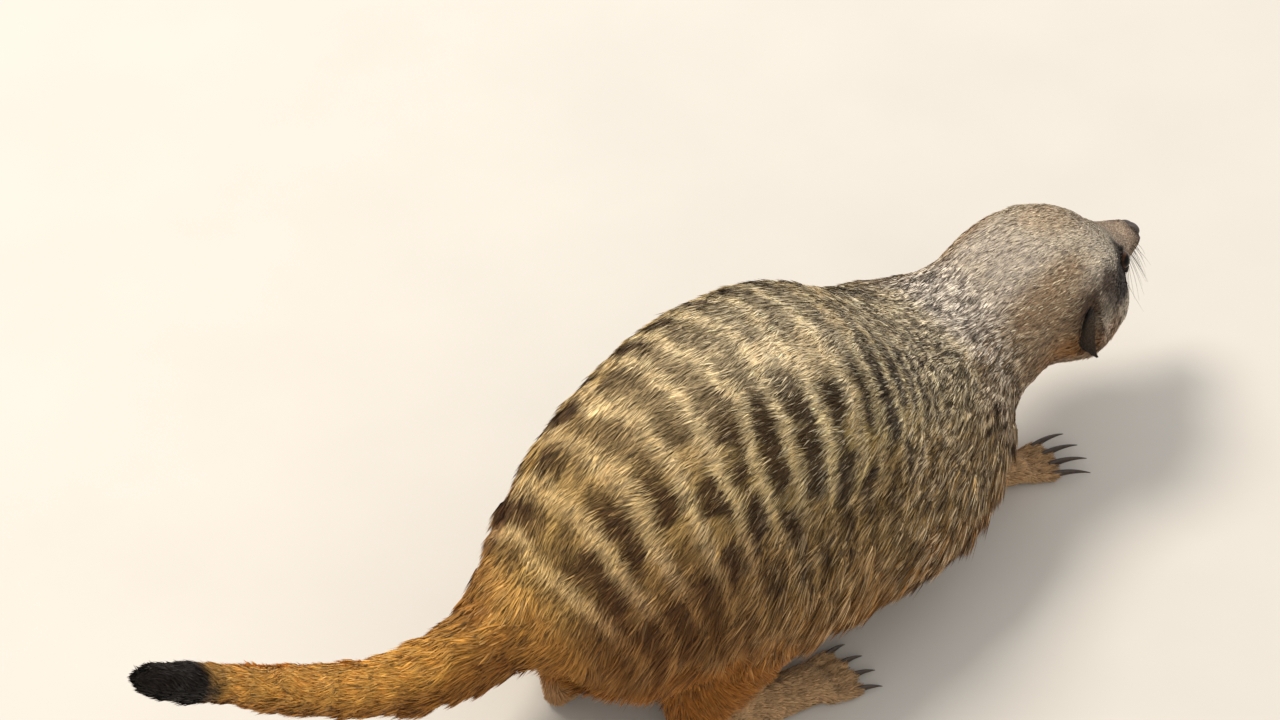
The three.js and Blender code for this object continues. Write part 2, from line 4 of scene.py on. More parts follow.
import bmesh
import bpy
import numpy as np
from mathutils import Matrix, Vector
from mathutils.bvhtree import BVHTree


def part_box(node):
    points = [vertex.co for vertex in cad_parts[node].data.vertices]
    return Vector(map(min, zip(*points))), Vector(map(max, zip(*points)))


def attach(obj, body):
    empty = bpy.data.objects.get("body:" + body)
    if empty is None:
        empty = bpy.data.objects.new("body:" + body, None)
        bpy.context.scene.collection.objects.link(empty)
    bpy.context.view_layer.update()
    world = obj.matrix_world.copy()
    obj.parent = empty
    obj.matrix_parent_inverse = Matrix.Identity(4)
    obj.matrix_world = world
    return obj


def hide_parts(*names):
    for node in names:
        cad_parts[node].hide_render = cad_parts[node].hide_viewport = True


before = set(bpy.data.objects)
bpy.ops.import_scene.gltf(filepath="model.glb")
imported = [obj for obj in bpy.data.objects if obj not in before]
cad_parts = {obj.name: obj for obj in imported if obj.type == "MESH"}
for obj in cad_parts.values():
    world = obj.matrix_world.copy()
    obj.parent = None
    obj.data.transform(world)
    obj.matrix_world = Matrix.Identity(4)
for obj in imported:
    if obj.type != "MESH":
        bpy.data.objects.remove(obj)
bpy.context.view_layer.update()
mm = 0.001


# Small helpers for arrays of points.

def unit(v):
    return v / np.maximum(np.linalg.norm(v, axis=-1, keepdims=True), 1e-9)


def dot(a, b):
    return np.sum(a * b, axis=-1, keepdims=True)


def ease(low, high, x):  # from 0 at low to 1 at high, gently at both ends
    t = np.clip((x - low) / (high - low), 0, 1)
    return t * t * (3 - 2 * t)


def bell(x):
    return np.exp(-(x ** 2))


def mix(a, b, t):
    return a + (b - a) * t


def linear(red, green, blue):  # a screen colour from 0 to 255 as a linear one
    c = np.array([red, green, blue]) / 255
    return np.where(c < 0.04045, c / 12.92, ((c + 0.055) / 1.055) ** 2.4)


def lattice(i, j, k, seed):  # a fixed random number from 0 to 1 at each lattice point
    h = (i * 374761393 + j * 668265263 + k * 2147483647 + seed * 144269504) & 0xFFFFFFFF
    h = ((h ^ (h >> 13)) * 1274126177) & 0xFFFFFFFF
    h = ((h ^ (h >> 16)) * 2246822519) & 0xFFFFFFFF
    return ((h ^ (h >> 15)) & 0xFFFFFF) / 0xFFFFFF


def noise(points, size, seed):  # smooth noise from 0 to 1, with lumps of the given size in metres
    p = points / size + 1000.0
    cell = np.floor(p).astype(np.int64)
    t = p - cell
    t = t * t * (3 - 2 * t)
    total = np.zeros(len(points))
    for a in (0, 1):
        for b in (0, 1):
            for c in (0, 1):
                weight = np.abs(1 - a - t[:, 0]) * np.abs(1 - b - t[:, 1]) * np.abs(1 - c - t[:, 2])
                total += weight * lattice(cell[:, 0] + a, cell[:, 1] + b, cell[:, 2] + c, seed)
    return total


def read(items, field, width, kind=np.float32):  # one field of a mesh's vertices, edges or faces
    values = np.empty(len(items) * width, kind)
    items.foreach_get(field, values)
    return values.reshape(-1, width)


def meshCoords(mesh):
    return read(mesh.vertices, "co", 3).astype(float)


def meshNormals(mesh):
    return read(mesh.vertices, "normal", 3).astype(float)


def meshEdges(mesh):
    return read(mesh.edges, "vertices", 2, np.int32)


def meshTriangles(mesh, field="vertices"):
    mesh.calc_loop_triangles()
    return read(mesh.loop_triangles, field, 3, np.int32)


def setCoords(mesh, co):
    mesh.vertices.foreach_set("co", co.astype(np.float32).ravel())
    mesh.update()


def relax(values, edges, rounds, share=0.5, mask=None):  # pulls values towards their neighbours' mean
    n = len(values)
    a, b = edges[:, 0], edges[:, 1]
    count = np.maximum(np.bincount(a, minlength=n) + np.bincount(b, minlength=n), 1)
    flat = values.reshape(n, -1).astype(float).copy()
    pull = share if mask is None else share * mask[:, None]
    for _ in range(rounds):
        mean = np.empty_like(flat)
        for c in range(flat.shape[1]):
            mean[:, c] = np.bincount(a, flat[b, c], n) + np.bincount(b, flat[a, c], n)
        flat += (mean / count[:, None] - flat) * pull
    return flat.reshape(values.shape)


def linked(name, data):
    obj = bpy.data.objects.new(name, data)
    bpy.context.scene.collection.objects.link(obj)
    return obj


def newObject(name, mesh, slot, finish=None):
    if finish:
        mesh.materials.append(finish.material)
    obj = linked(name, mesh)
    if slot:
        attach(obj, "root")
    return obj


def meshFrom(name, verts, faces):  # faces is an array whose rows have one length, or a list
    mesh = bpy.data.meshes.new(name)
    if isinstance(faces, list):
        mesh.from_pydata([tuple(v) for v in verts], [], faces)
    else:
        mesh.vertices.add(len(verts))
        mesh.vertices.foreach_set("co", np.asarray(verts, np.float32).ravel())
        mesh.loops.add(faces.size)
        mesh.loops.foreach_set("vertex_index", faces.astype(np.int32).ravel())
        mesh.polygons.add(len(faces))
        mesh.polygons.foreach_set("loop_start", np.arange(len(faces), dtype=np.int32) * faces.shape[1])
    mesh.update(calc_edges=True)
    mesh.polygons.foreach_set("use_smooth", np.ones(len(mesh.polygons), bool))
    return mesh


def tubeFaces(rings, sides, first=0, flip=False, capped=False):  # between rings of vertices in a row
    faces = []
    for ring in range(rings):
        for n in range(sides):
            a, b = (first + ring * sides + k % sides for k in (n, n + 1))
            faces.append((a, a + sides, b + sides, b) if flip else (a, b, b + sides, a + sides))
    if capped:
        start, end = (tuple(range(k, k + sides)) for k in (first, first + rings * sides))
        faces += [start, end[::-1]] if flip else [start[::-1], end]
    return faces


def treeOf(verts, faces):
    return BVHTree.FromPolygons([tuple(v) for v in verts], [tuple(f) for f in faces])


def boxMiddle(node):
    low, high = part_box(node)
    return np.array((low + high) / 2)


# The head's own frame: forward to the nose, left and up, from where the eyes, ears and nose are.

bothSides = {"left": 1, "right": -1}
eyeMiddles = {side: boxMiddle("eye_" + side) for side in bothSides}
eyeRadius = float((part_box("eye_left")[1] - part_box("eye_left")[0]).z) / 2
betweenEyes = (eyeMiddles["left"] + eyeMiddles["right"]) / 2
betweenEars = (boxMiddle("ear_left") + boxMiddle("ear_right")) / 2
noseMiddle = boxMiddle("nose")
headLeft = unit(eyeMiddles["left"] - eyeMiddles["right"])
headForward = noseMiddle - betweenEars
headForward = unit(headForward - dot(headForward, headLeft) * headLeft)
headUp = np.cross(headForward, headLeft)


def onHead(points):  # forward, left and up distances from the point between the eyes
    offset = points - betweenEyes
    return offset @ headForward, offset @ headLeft, offset @ headUp


def fromHead(forward, left, up):
    return betweenEyes + forward * headForward + left * headLeft + up * headUp


# The skin: all flesh joined, rounded, then drawn in by the coat's depth.

skinPlan = {
    "voxel": 1.2 * mm,
    "grow": 0.35 * mm,  # closes the seams between the solids
    "drawSteps": 4,  # small ones, so that folds don't cross
    "roundings": 14,
    "trunkRoundings": 50,  # more of them where no small form would be lost
    "depthRoundings": 250,  # so that the coat's depth changes slowly along the trunk
    "muzzleDepth": 0.9 * mm,  # depth of the coat there
}
coatTable = {
    # by kind of node: depth of the coat in millimetres, then the tufts on a square millimetre,
    # their length and width in millimetres and their lift in degrees
    "head": (2.2, 4.6, 4.2, 0.48, 17),
    "neck": (4.0, 5.0, 5.4, 0.62, 27),
    "shoulders": (3.9, 4.9, 5.8, 0.58, 30),
    "loins": (2.6, 4.1, 7.4, 0.62, 30),
    "rump": (4.6, 4.1, 8.2, 0.64, 30),
    "thigh": (4.6, 4.1, 8.2, 0.62, 29),
    "upper_arm": (4.4, 4.4, 6.6, 0.58, 28),
    "shank": (2.8, 3.6, 6.5, 0.52, 23),
    "forearm": (2.6, 3.8, 5.0, 0.48, 22),
    "foot": (0.9, 4.4, 3.0, 0.40, 16),
    "ear": (0.35, 5.0, 1.3, 0.32, 9),
    "tail_root": (4.6, 4.0, 9.5, 0.64, 27),
    "tail_middle": (3.8, 4.6, 8.5, 0.58, 26),
    "tail_end": (3.2, 5.0, 7.2, 0.55, 25),
    "tail_tip": (3.0, 6.5, 6.2, 0.55, 20),
    "eye": (1.4, 5.0, 2.2, 0.28, 12),
    "nose": (0.6, 5.0, 1.6, 0.26, 10),
}
fleshNodes = [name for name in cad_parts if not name.startswith(("claw", "eye", "nose"))]


def joinedSolids(names, grow):
    verts, faces, owner, start = [], [], [], 0
    for number, name in enumerate(names):
        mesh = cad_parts[name].data
        co = meshCoords(mesh)
        tris = meshTriangles(mesh)
        welded, back = np.unique(co.round(6), axis=0, return_inverse=True)
        tris = back.ravel()[tris]
        flat = np.cross(welded[tris[:, 1]] - welded[tris[:, 0]], welded[tris[:, 2]] - welded[tris[:, 0]])
        normals = np.zeros_like(welded)
        for corner in range(3):
            np.add.at(normals, tris[:, corner], flat)
        verts.append(welded + unit(normals) * grow)
        faces.append(tris + start)
        owner.append(np.full(len(tris), number))
        start += len(welded)
    return np.concatenate(verts), np.concatenate(faces), np.concatenate(owner)


bodyNodes = [name for name in fleshNodes if not name.startswith("ear")] + ["eye_left", "eye_right"]
bodyVerts, bodyFaces, bodyOwner = joinedSolids(bodyNodes, skinPlan["grow"])
rough = newObject("roughSkin", meshFrom("roughSkin", bodyVerts, bodyFaces), None)
remesh = rough.modifiers.new("remesh", "REMESH")
remesh.mode = "VOXEL"
remesh.voxel_size = skinPlan["voxel"]
skinMesh = bpy.data.meshes.new_from_object(rough.evaluated_get(bpy.context.evaluated_depsgraph_get()))
bpy.data.objects.remove(rough)
print("skin remeshed:", len(skinMesh.vertices), "vertices")

# Which node a skin vertex belongs to, and values blended from node to node.

bodyTree = treeOf(bodyVerts, bodyFaces)
kinds = list(coatTable)
kindOfNode = np.array([[name.startswith(kind) for kind in kinds].index(True) for name in bodyNodes])


class Region:  # the kinds of node under the vertices of a mesh, and its edges
    def __init__(self, mesh):
        self.edges = meshEdges(mesh)
        faces = [bodyTree.find_nearest(Vector(p))[2] for p in meshCoords(mesh)]
        self.node = bodyOwner[np.array(faces)]
        self.kind = kindOfNode[self.node]

    def table(self, column, rounds=70):
        return relax(np.array([row[column] for row in coatTable.values()])[self.kind], self.edges, rounds)

    def zone(self, *names, rounds=18):
        chosen = np.isin(self.kind, [kinds.index(name) for name in names])
        return relax(chosen.astype(float), self.edges, rounds)


region = Region(skinMesh)
skinCo = relax(meshCoords(skinMesh), region.edges, skinPlan["roundings"])
trunkKinds = ["neck", "shoulders", "loins", "rump", "thigh", "upper_arm"]
broad = region.zone(*trunkKinds, rounds=12)
skinCo = relax(skinCo, region.edges, skinPlan["trunkRoundings"], 0.5, broad)
setCoords(skinMesh, skinCo)
coatDepth = relax(region.table(0) * mm, region.edges, skinPlan["depthRoundings"], 0.5, broad)
muzzle = ease(-4 * mm, 14 * mm, onHead(skinCo)[0])
coatDepth = mix(coatDepth, np.minimum(coatDepth, skinPlan["muzzleDepth"]), muzzle)
for _ in range(skinPlan["drawSteps"]):
    skinCo = skinCo - meshNormals(skinMesh) * (coatDepth / skinPlan["drawSteps"])[:, None]
    skinCo = relax(skinCo, region.edges, 2, 0.35)
    skinCo[:, 2] = np.maximum(skinCo[:, 2], 0)
    setCoords(skinMesh, skinCo)
print("skin drawn in")


# Toes: grooves between them, from each gap between claws back over the foot.

toePlan = {"depth": 1.3 * mm, "width": 1.1 * mm, "length": 13 * mm, "top": 12 * mm}
legNames = ["hind_right", "hind_left", "fore_right", "fore_left"]


def clawEnds(leg, number):  # the middle of a claw's root, and its tip
    co = meshCoords(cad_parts[f"claw_{leg}_{number}"].data)
    reach = co @ unit(co.mean(0) - boxMiddle("foot_" + leg))
    root = co[reach < reach.min() + 0.6 * mm].mean(0)
    tip = co[reach > reach.max() - 0.4 * mm].mean(0)
    return root, tip


clawsOf = {leg: [clawEnds(leg, number) for number in range(1, 5)] for leg in legNames}
skinNormals = meshNormals(skinMesh)
for claws in clawsOf.values():
    for (rootA, tipA), (rootB, tipB) in zip(claws, claws[1:]):
        heading = unit(((tipA - rootA) + (tipB - rootB)) * np.array([1, 1, 0]))
        across = np.array([-heading[1], heading[0], 0])
        offset = skinCo - (rootA + rootB) / 2
        back = -(offset @ heading)
        reach = ease(-6 * mm, 0, back) * ease(1, 0.5, back / toePlan["length"])
        groove = bell(offset @ across / toePlan["width"]) * reach
        groove = groove * (offset[:, 2] < toePlan["top"])
        skinCo = skinCo - skinNormals * (groove * toePlan["depth"])[:, None]
setCoords(skinMesh, skinCo)


# Face: finer mesh round the eyes and muzzle, then lids, mouth line, jaw and brow.

facePlan = {
    "fine": 13 * mm,  # how far round each eye the mesh is split finer
    "lidLong": 4.2 * mm,
    "lidHigh": 2.6 * mm,
    "lidThick": 0.6 * mm,
    "socket": 0.78,  # the skin under the eyeball, as a share of its radius
    "mouthBack": 22 * mm,
    "mouthDrop": 4.4 * mm,
    "mouthDepth": 1.5 * mm,
    "mouthWidth": 0.8 * mm,
    "jawTuck": 0.9 * mm,
    "browLift": 1.5 * mm,
}
noseSpot = [float(x) for x in onHead(noseMiddle)]
earSpot = [float(x) for x in onHead(boxMiddle("ear_left"))]
skinWork = bmesh.new()
skinWork.from_mesh(skinMesh)


def splitNear(middles, reach):
    edges = set()
    for middle in middles:
        spot = Vector(middle)
        for vert in skinWork.verts:
            if (vert.co - spot).length < reach:
                edges.update(vert.link_edges)
    bmesh.ops.subdivide_edges(skinWork, edges=list(edges), cuts=1, use_grid_fill=True)


eyeSpots = list(eyeMiddles.values())
splitNear(eyeSpots + [fromHead(noseSpot[0] - 9 * mm, 0, noseSpot[2] - 1 * mm)], facePlan["fine"])
splitNear(eyeSpots, facePlan["fine"] * 0.62)
bmesh.ops.triangulate(skinWork, faces=[f for f in skinWork.faces if len(f.verts) > 4])
skinWork.to_mesh(skinMesh)
skinWork.free()
region = Region(skinMesh)
skinCo = relax(meshCoords(skinMesh), region.edges, 2, 0.4)
setCoords(skinMesh, skinCo)
skinNormals = meshNormals(skinMesh)
print("skin split finer:", len(skinCo), "vertices")

forward, aside, up = onHead(skinCo)
mouthReach = noseSpot[0] - forward  # distance behind the nose
mouthLine = noseSpot[2] - facePlan["mouthDrop"] - 0.06 * mouthReach
onMuzzle = ease(-1 * mm, 2 * mm, mouthReach) * ease(1, 0.8, mouthReach / facePlan["mouthBack"])
onMuzzle = onMuzzle * region.zone("head", "nose", "eye", rounds=4)
groove = bell((up - mouthLine) / facePlan["mouthWidth"]) * onMuzzle
tuck = ease(0, 3 * mm, mouthLine - up) * onMuzzle
skinCo = skinCo - skinNormals * (groove * facePlan["mouthDepth"] + tuck * facePlan["jawTuck"])[:, None]
setCoords(skinMesh, skinCo)

noLid = 9.0  # away from the eyes
lidEdge = np.full(len(skinCo), noLid)  # 1 at the rim of the lids, less inside the opening
for side, sign in bothSides.items():
    middle = eyeMiddles[side]
    outward = unit(0.42 * headForward + 0.88 * sign * headLeft + 0.2 * headUp)
    long = unit(headForward - dot(headForward, outward) * outward + 0.12 * headUp)
    high = np.cross(outward, long) * sign
    high = high if high @ headUp > 0 else -high
    offset = skinCo - middle
    reach = np.linalg.norm(offset, axis=1)
    facing = offset @ outward > -0.1 * eyeRadius
    x, y = offset @ long, offset @ high
    pinch = 1 - 0.28 * np.clip(np.abs(x) / facePlan["lidLong"], 0, 1)  # pointed corners
    edge = np.sqrt((x / facePlan["lidLong"]) ** 2 + (y / (facePlan["lidHigh"] * pinch)) ** 2)
    near = facing & (reach < 2.4 * eyeRadius)
    edge = np.where(near, edge, noLid)
    lidEdge = np.minimum(lidEdge, edge)
    over = eyeRadius + facePlan["lidThick"] * (1 + 0.8 * bell((edge - 1.12) / 0.16))
    covered = np.maximum(reach, over)
    wanted = mix(covered, reach, ease(1.5, 2.3, edge))
    wanted = np.where(edge < 1, facePlan["socket"] * eyeRadius, wanted)
    wanted = np.where(near, wanted, reach)
    skinCo = middle + offset * (wanted / np.maximum(reach, 1e-6))[:, None]
    brow = np.exp(-(((x + 0.5 * mm) / (5 * mm)) ** 2) - ((y - 5.6 * mm) / (2.2 * mm)) ** 2) * near
    skinCo = skinCo + outward * (brow * facePlan["browLift"])[:, None]
setCoords(skinMesh, skinCo)
skinCo = relax(skinCo, region.edges, 1, 0.3, ((lidEdge > 1.02) & (lidEdge < 3)).astype(float))
setCoords(skinMesh, skinCo)
skinNormals = meshNormals(skinMesh)
print("face shaped")

# Ears: a thin black crescent flares round the back of each hollow, joined to the skin.
earPlan = {
    "reach": 5.2 * mm,
    "tall": 10.9 * mm,
    "flare": 6.6 * mm,  # how far the rim stands out
    "thick": 1.2 * mm,
    "sweep": 1.65,  # the rim's turn to each side of its rearmost point
    "steps": 44,
    "root": -5.5 * mm,
    # up one face and down the other: (how far from the root to the rim, which face)
    "climb": [(0, 1), (0.4, 1), (0.75, 1), (0.94, 0.8), (1, 0), (0.94, -0.8), (0.75, -1), (0.4, -1), (0, -1)],
}


def earShell(side, sign):
    outward = unit(sign * headLeft - 0.3 * headForward + 0.12 * headUp)
    rear = unit(-headForward + dot(headForward, outward) * outward)
    rise = unit(headUp - dot(headUp, outward) * outward - dot(headUp, rear) * rear)
    verts = []
    for step in range(earPlan["steps"] + 1):
        turn = earPlan["sweep"] * (2 * step / earPlan["steps"] - 1)
        fade = math.cos(0.5 * math.pi * turn / earPlan["sweep"])
        below = max(0, -math.sin(turn))
        sink = (2.4 + 4.5 * below) * mm * (1 - fade) ** 2
        height = earPlan["flare"] * fade ** (0.62 - 0.32 * below) - sink
        rearward = rear * math.cos(turn) * earPlan["reach"]
        upward = rise * math.sin(turn) * earPlan["tall"] * (1 - 0.26 * below)
        for share, face in earPlan["climb"]:
            point = rearward * (1.3 - 0.42 * share) + upward * (0.72 + 0.28 * share ** 0.7)
            point = point + outward * mix(earPlan["root"], height, share)
            point = point + unit(rearward + upward) * face * earPlan["thick"] / 2 * (0.4 + 0.6 * fade)
            verts.append(boxMiddle("ear_" + side) + point)
    return verts, tubeFaces(earPlan["steps"], len(earPlan["climb"]), flip=sign < 0, capped=True)


headCount = len(skinCo)
skinWork = bmesh.new()
skinWork.from_mesh(skinMesh)
for side, sign in bothSides.items():
    verts, faces = earShell(side, sign)
    made = [skinWork.verts.new(v) for v in verts]
    shell = [skinWork.faces.new([made[n] for n in face]) for face in faces]
    bmesh.ops.recalc_face_normals(skinWork, faces=shell)
    rims = list({edge for face in shell for edge in face.edges})
    bmesh.ops.subdivide_edges(skinWork, edges=rims, cuts=1, use_grid_fill=True)
skinWork.to_mesh(skinMesh)
skinWork.free()
skinCo = meshCoords(skinMesh)
region.edges = meshEdges(skinMesh)
added = len(skinCo) - headCount


def extended(values, filler):  # with one value more for each vertex of the ears
    return np.concatenate([values, np.full(added, filler)])


region.kind = extended(region.kind, kinds.index("ear"))
region.node = extended(region.node, -1)
lidEdge = extended(lidEdge, noLid)
groove = extended(groove, 0.0)
onMuzzle = extended(onMuzzle, 0.0)
skinNormals = meshNormals(skinMesh)
print("ears added:", added, "vertices")


# The body's own coordinates: how far from the nose, and how far round from the spine.

tailNodes = ["tail_root", "tail_middle", "tail_end", "tail_tip"]
spineNodes = ["nose", "head", "neck", "shoulders", "loins", "rump"] + tailNodes
spineKnots = np.array([boxMiddle(name) for name in spineNodes])
for _ in range(5):  # cuts the corners of the line through the nodes' middles
    inner = np.stack([mix(spineKnots[:-1], spineKnots[1:], share) for share in (0.25, 0.75)], 1)
    spineKnots = np.concatenate([spineKnots[:1], inner.reshape(-1, 3), spineKnots[-1:]])
spineTravel = np.concatenate([[0], np.cumsum(np.linalg.norm(np.diff(spineKnots, axis=0), axis=1))])
spineSteps = np.arange(0, spineTravel[-1], 1 * mm)
spine = np.stack([np.interp(spineSteps, spineTravel, spineKnots[:, axis]) for axis in range(3)], 1)
spineAlong = unit(np.gradient(spine, axis=0))
spineUp = unit(np.array([0, 0, 1]) - spineAlong[:, 2:] * spineAlong)
spineLeft = np.cross(spineAlong, spineUp)


def nearestSpine(points, batch=20000):
    starts = range(0, len(points), batch)
    gaps = (points[start:start + batch, None] - spine[None] for start in starts)
    return np.concatenate([np.argmin((gap ** 2).sum(2), axis=1) for gap in gaps])


skinSpine = nearestSpine(skinCo)
skinTail = spineAlong[skinSpine]  # the way towards the tail
skinOffset = skinCo - spine[skinSpine]
skinRound = np.arctan2(*(np.sum(skinOffset * way[skinSpine], 1) for way in (spineLeft, spineUp)))
skinTravel = spineSteps[skinSpine] + np.sum(skinOffset * skinTail, 1)
travelOf = {name: spineSteps[nearestSpine(boxMiddle(name)[None])[0]] for name in spineNodes}


# The lie of the coat: nose to tail along the body, down the legs, out to the toes.

down = np.array([0, 0, -1.0])
sagging = region.zone(*trunkKinds)
rawFlow = skinTail + down * (0.42 * ease(0.5, 1.5, np.abs(skinRound)) * sagging)[:, None]
for leg in legNames:
    upperName, lowerName = ("thigh", "shank") if "hind" in leg else ("upper_arm", "forearm")
    lower, foot = [boxMiddle(f"{part}_{leg}") for part in (lowerName, "foot")]
    toes = np.mean([tip for _, tip in clawsOf[leg]], axis=0)
    ways = {upperName: down * 0.5 + skinTail * 0.8, lowerName: unit(foot - lower), "foot": unit(toes - foot)}
    for part, way in ways.items():
        members = region.node == bodyNodes.index(f"{part}_{leg}")
        rawFlow = np.where(members[:, None], way, rawFlow)
isEar = region.kind == kinds.index("ear")
rawFlow = np.where(isEar[:, None], unit(-0.7 * headForward + 0.5 * headUp + 0.2 * skinNormals), rawFlow)
skinFlow = relax(rawFlow, region.edges, 30)
skinFlow = unit(skinFlow - dot(skinFlow, skinNormals) * skinNormals)
print("coat combed")

# Markings, shared by the skin and the coat, with painted shade low on the hindquarters and at the tail's root
# and a painted highlight along the spine.

zones = {
    "head": region.zone("head", "ear", "eye", "nose", rounds=40),
    "neck": region.zone("neck", rounds=60),
    "shoulder": region.zone("shoulders", "upper_arm", rounds=60),
    "tail": region.zone(*tailNodes, rounds=60),
    "tip": region.zone("tail_tip", rounds=10),
    "limb": region.zone("shank", "forearm", "foot", rounds=40),
    "foot": region.zone("foot", rounds=20),
    "ear": region.zone("ear", rounds=2),
}
zoneNames = list(zones)
skinZones = np.stack([zones[name] for name in zoneNames], 1)

screenColours = {
    "straw": (232, 204, 126),
    # strawPale is also laid as a painted highlight along the top of the back
    "strawPale": (246, 226, 186),
    "ochre": (208, 166, 92),
    "greyTan": (231, 207, 162),
    "grizzle": (156, 108, 46),
    "worn": (146, 116, 74),  # where a band breaks off
    "band": (51, 31, 12),
    "bandWarm": (62, 35, 13),
    "silver": (184, 172, 160),
    "neckSide": (141, 117, 89),
    "headSide": (141, 111, 76),
    "crown": (204, 190, 170),
    "crownPatch": (196, 172, 142),
    "brow": (234, 222, 202),
    "cheek": (146, 96, 42),
    "temple": (72, 48, 30),
    "patch": (44, 30, 22),
    "muzzle": (180, 152, 128),
    "chin": (204, 190, 170),
    "rust": (152, 95, 34),
    # umber is also laid as painted shade low on the hindquarters, at the rump's end and at the tail's root
    "umber": (128, 79, 29),
    "belly": (172, 122, 60),
    "tail": (224, 167, 78),
    "black": (30, 22, 17),
    "foot": (186, 152, 112),
    "earSkin": (30, 23, 20),
    "earBack": (92, 77, 62),
    "sole": (70, 52, 44),
    "lip": (46, 32, 28),
    "darkHair": (46, 30, 14),
    "paleHair": (244, 230, 198),
    "paleHind": (216, 178, 118),
    "paleNeck": (240, 231, 217),
    "paleShoulder": (232, 216, 186),
}
palette = {name: linear(*colour) for name, colour in screenColours.items()}
earMiddle = np.array([earSpot[0], earSpot[2], 0, 0])
ovals = {  # on the head: middle ahead and up, half length, half height
    "crest": np.array([-20, 0, 17, 15]) * mm,  # this one as seen from above
    "brow": np.array([-12, 11, 20, 5]) * mm,
    "patch": np.array([-3.5, -0.2, 13.5, 8.2]) * mm,
    "temple": np.array([-23, 2, 23, 10.5]) * mm,
    "hollow": np.array([0, 0, 5.2, 8.4]) * mm + earMiddle,
    "rim": np.array([8, 0, 3, 9]) * mm + earMiddle,
    "shell": np.array([0, 0, earPlan["reach"], earPlan["tall"]]) + earMiddle,
}
bandPlan = {
    "first": 3.8 * mm,  # spacing of the bands at the shoulders
    "last": 12.8 * mm,  # and over the rump
    "over": 100 * mm,
    "share": 0.46,  # how much of each spacing is dark, from -1 to 1
    "row": 0.56,  # radians around the body from one blotch of a band to the next
    "waver": 0.2,
    "lump": 17 * mm,
    "broken": 0.32,
    "silverEnd": 21 * mm,  # behind the middle of the neck
}
bandStart = travelOf["neck"] + bandPlan["silverEnd"] - 4 * mm
bandTravel = np.arange(0, 320 * mm, 1 * mm)
bandGap = mix(bandPlan["first"], bandPlan["last"], ease(0, bandPlan["over"], bandTravel))
bandTurns = np.cumsum(1 * mm / bandGap)


def layered(colour, *layers):  # colours laid one over another, with how much of each at each place
    for other, amount in layers:
        other = palette[other] if isinstance(other, str) else other
        colour = mix(colour, other, np.clip(amount, 0, 1)[:, None])
    return colour


def oval(name, x, y):  # 1 on the edge of the oval, less inside it
    middleX, middleY, halfX, halfY = ovals[name]
    return np.sqrt(((x - middleX) / halfX) ** 2 + ((y - middleY) / halfY) ** 2)


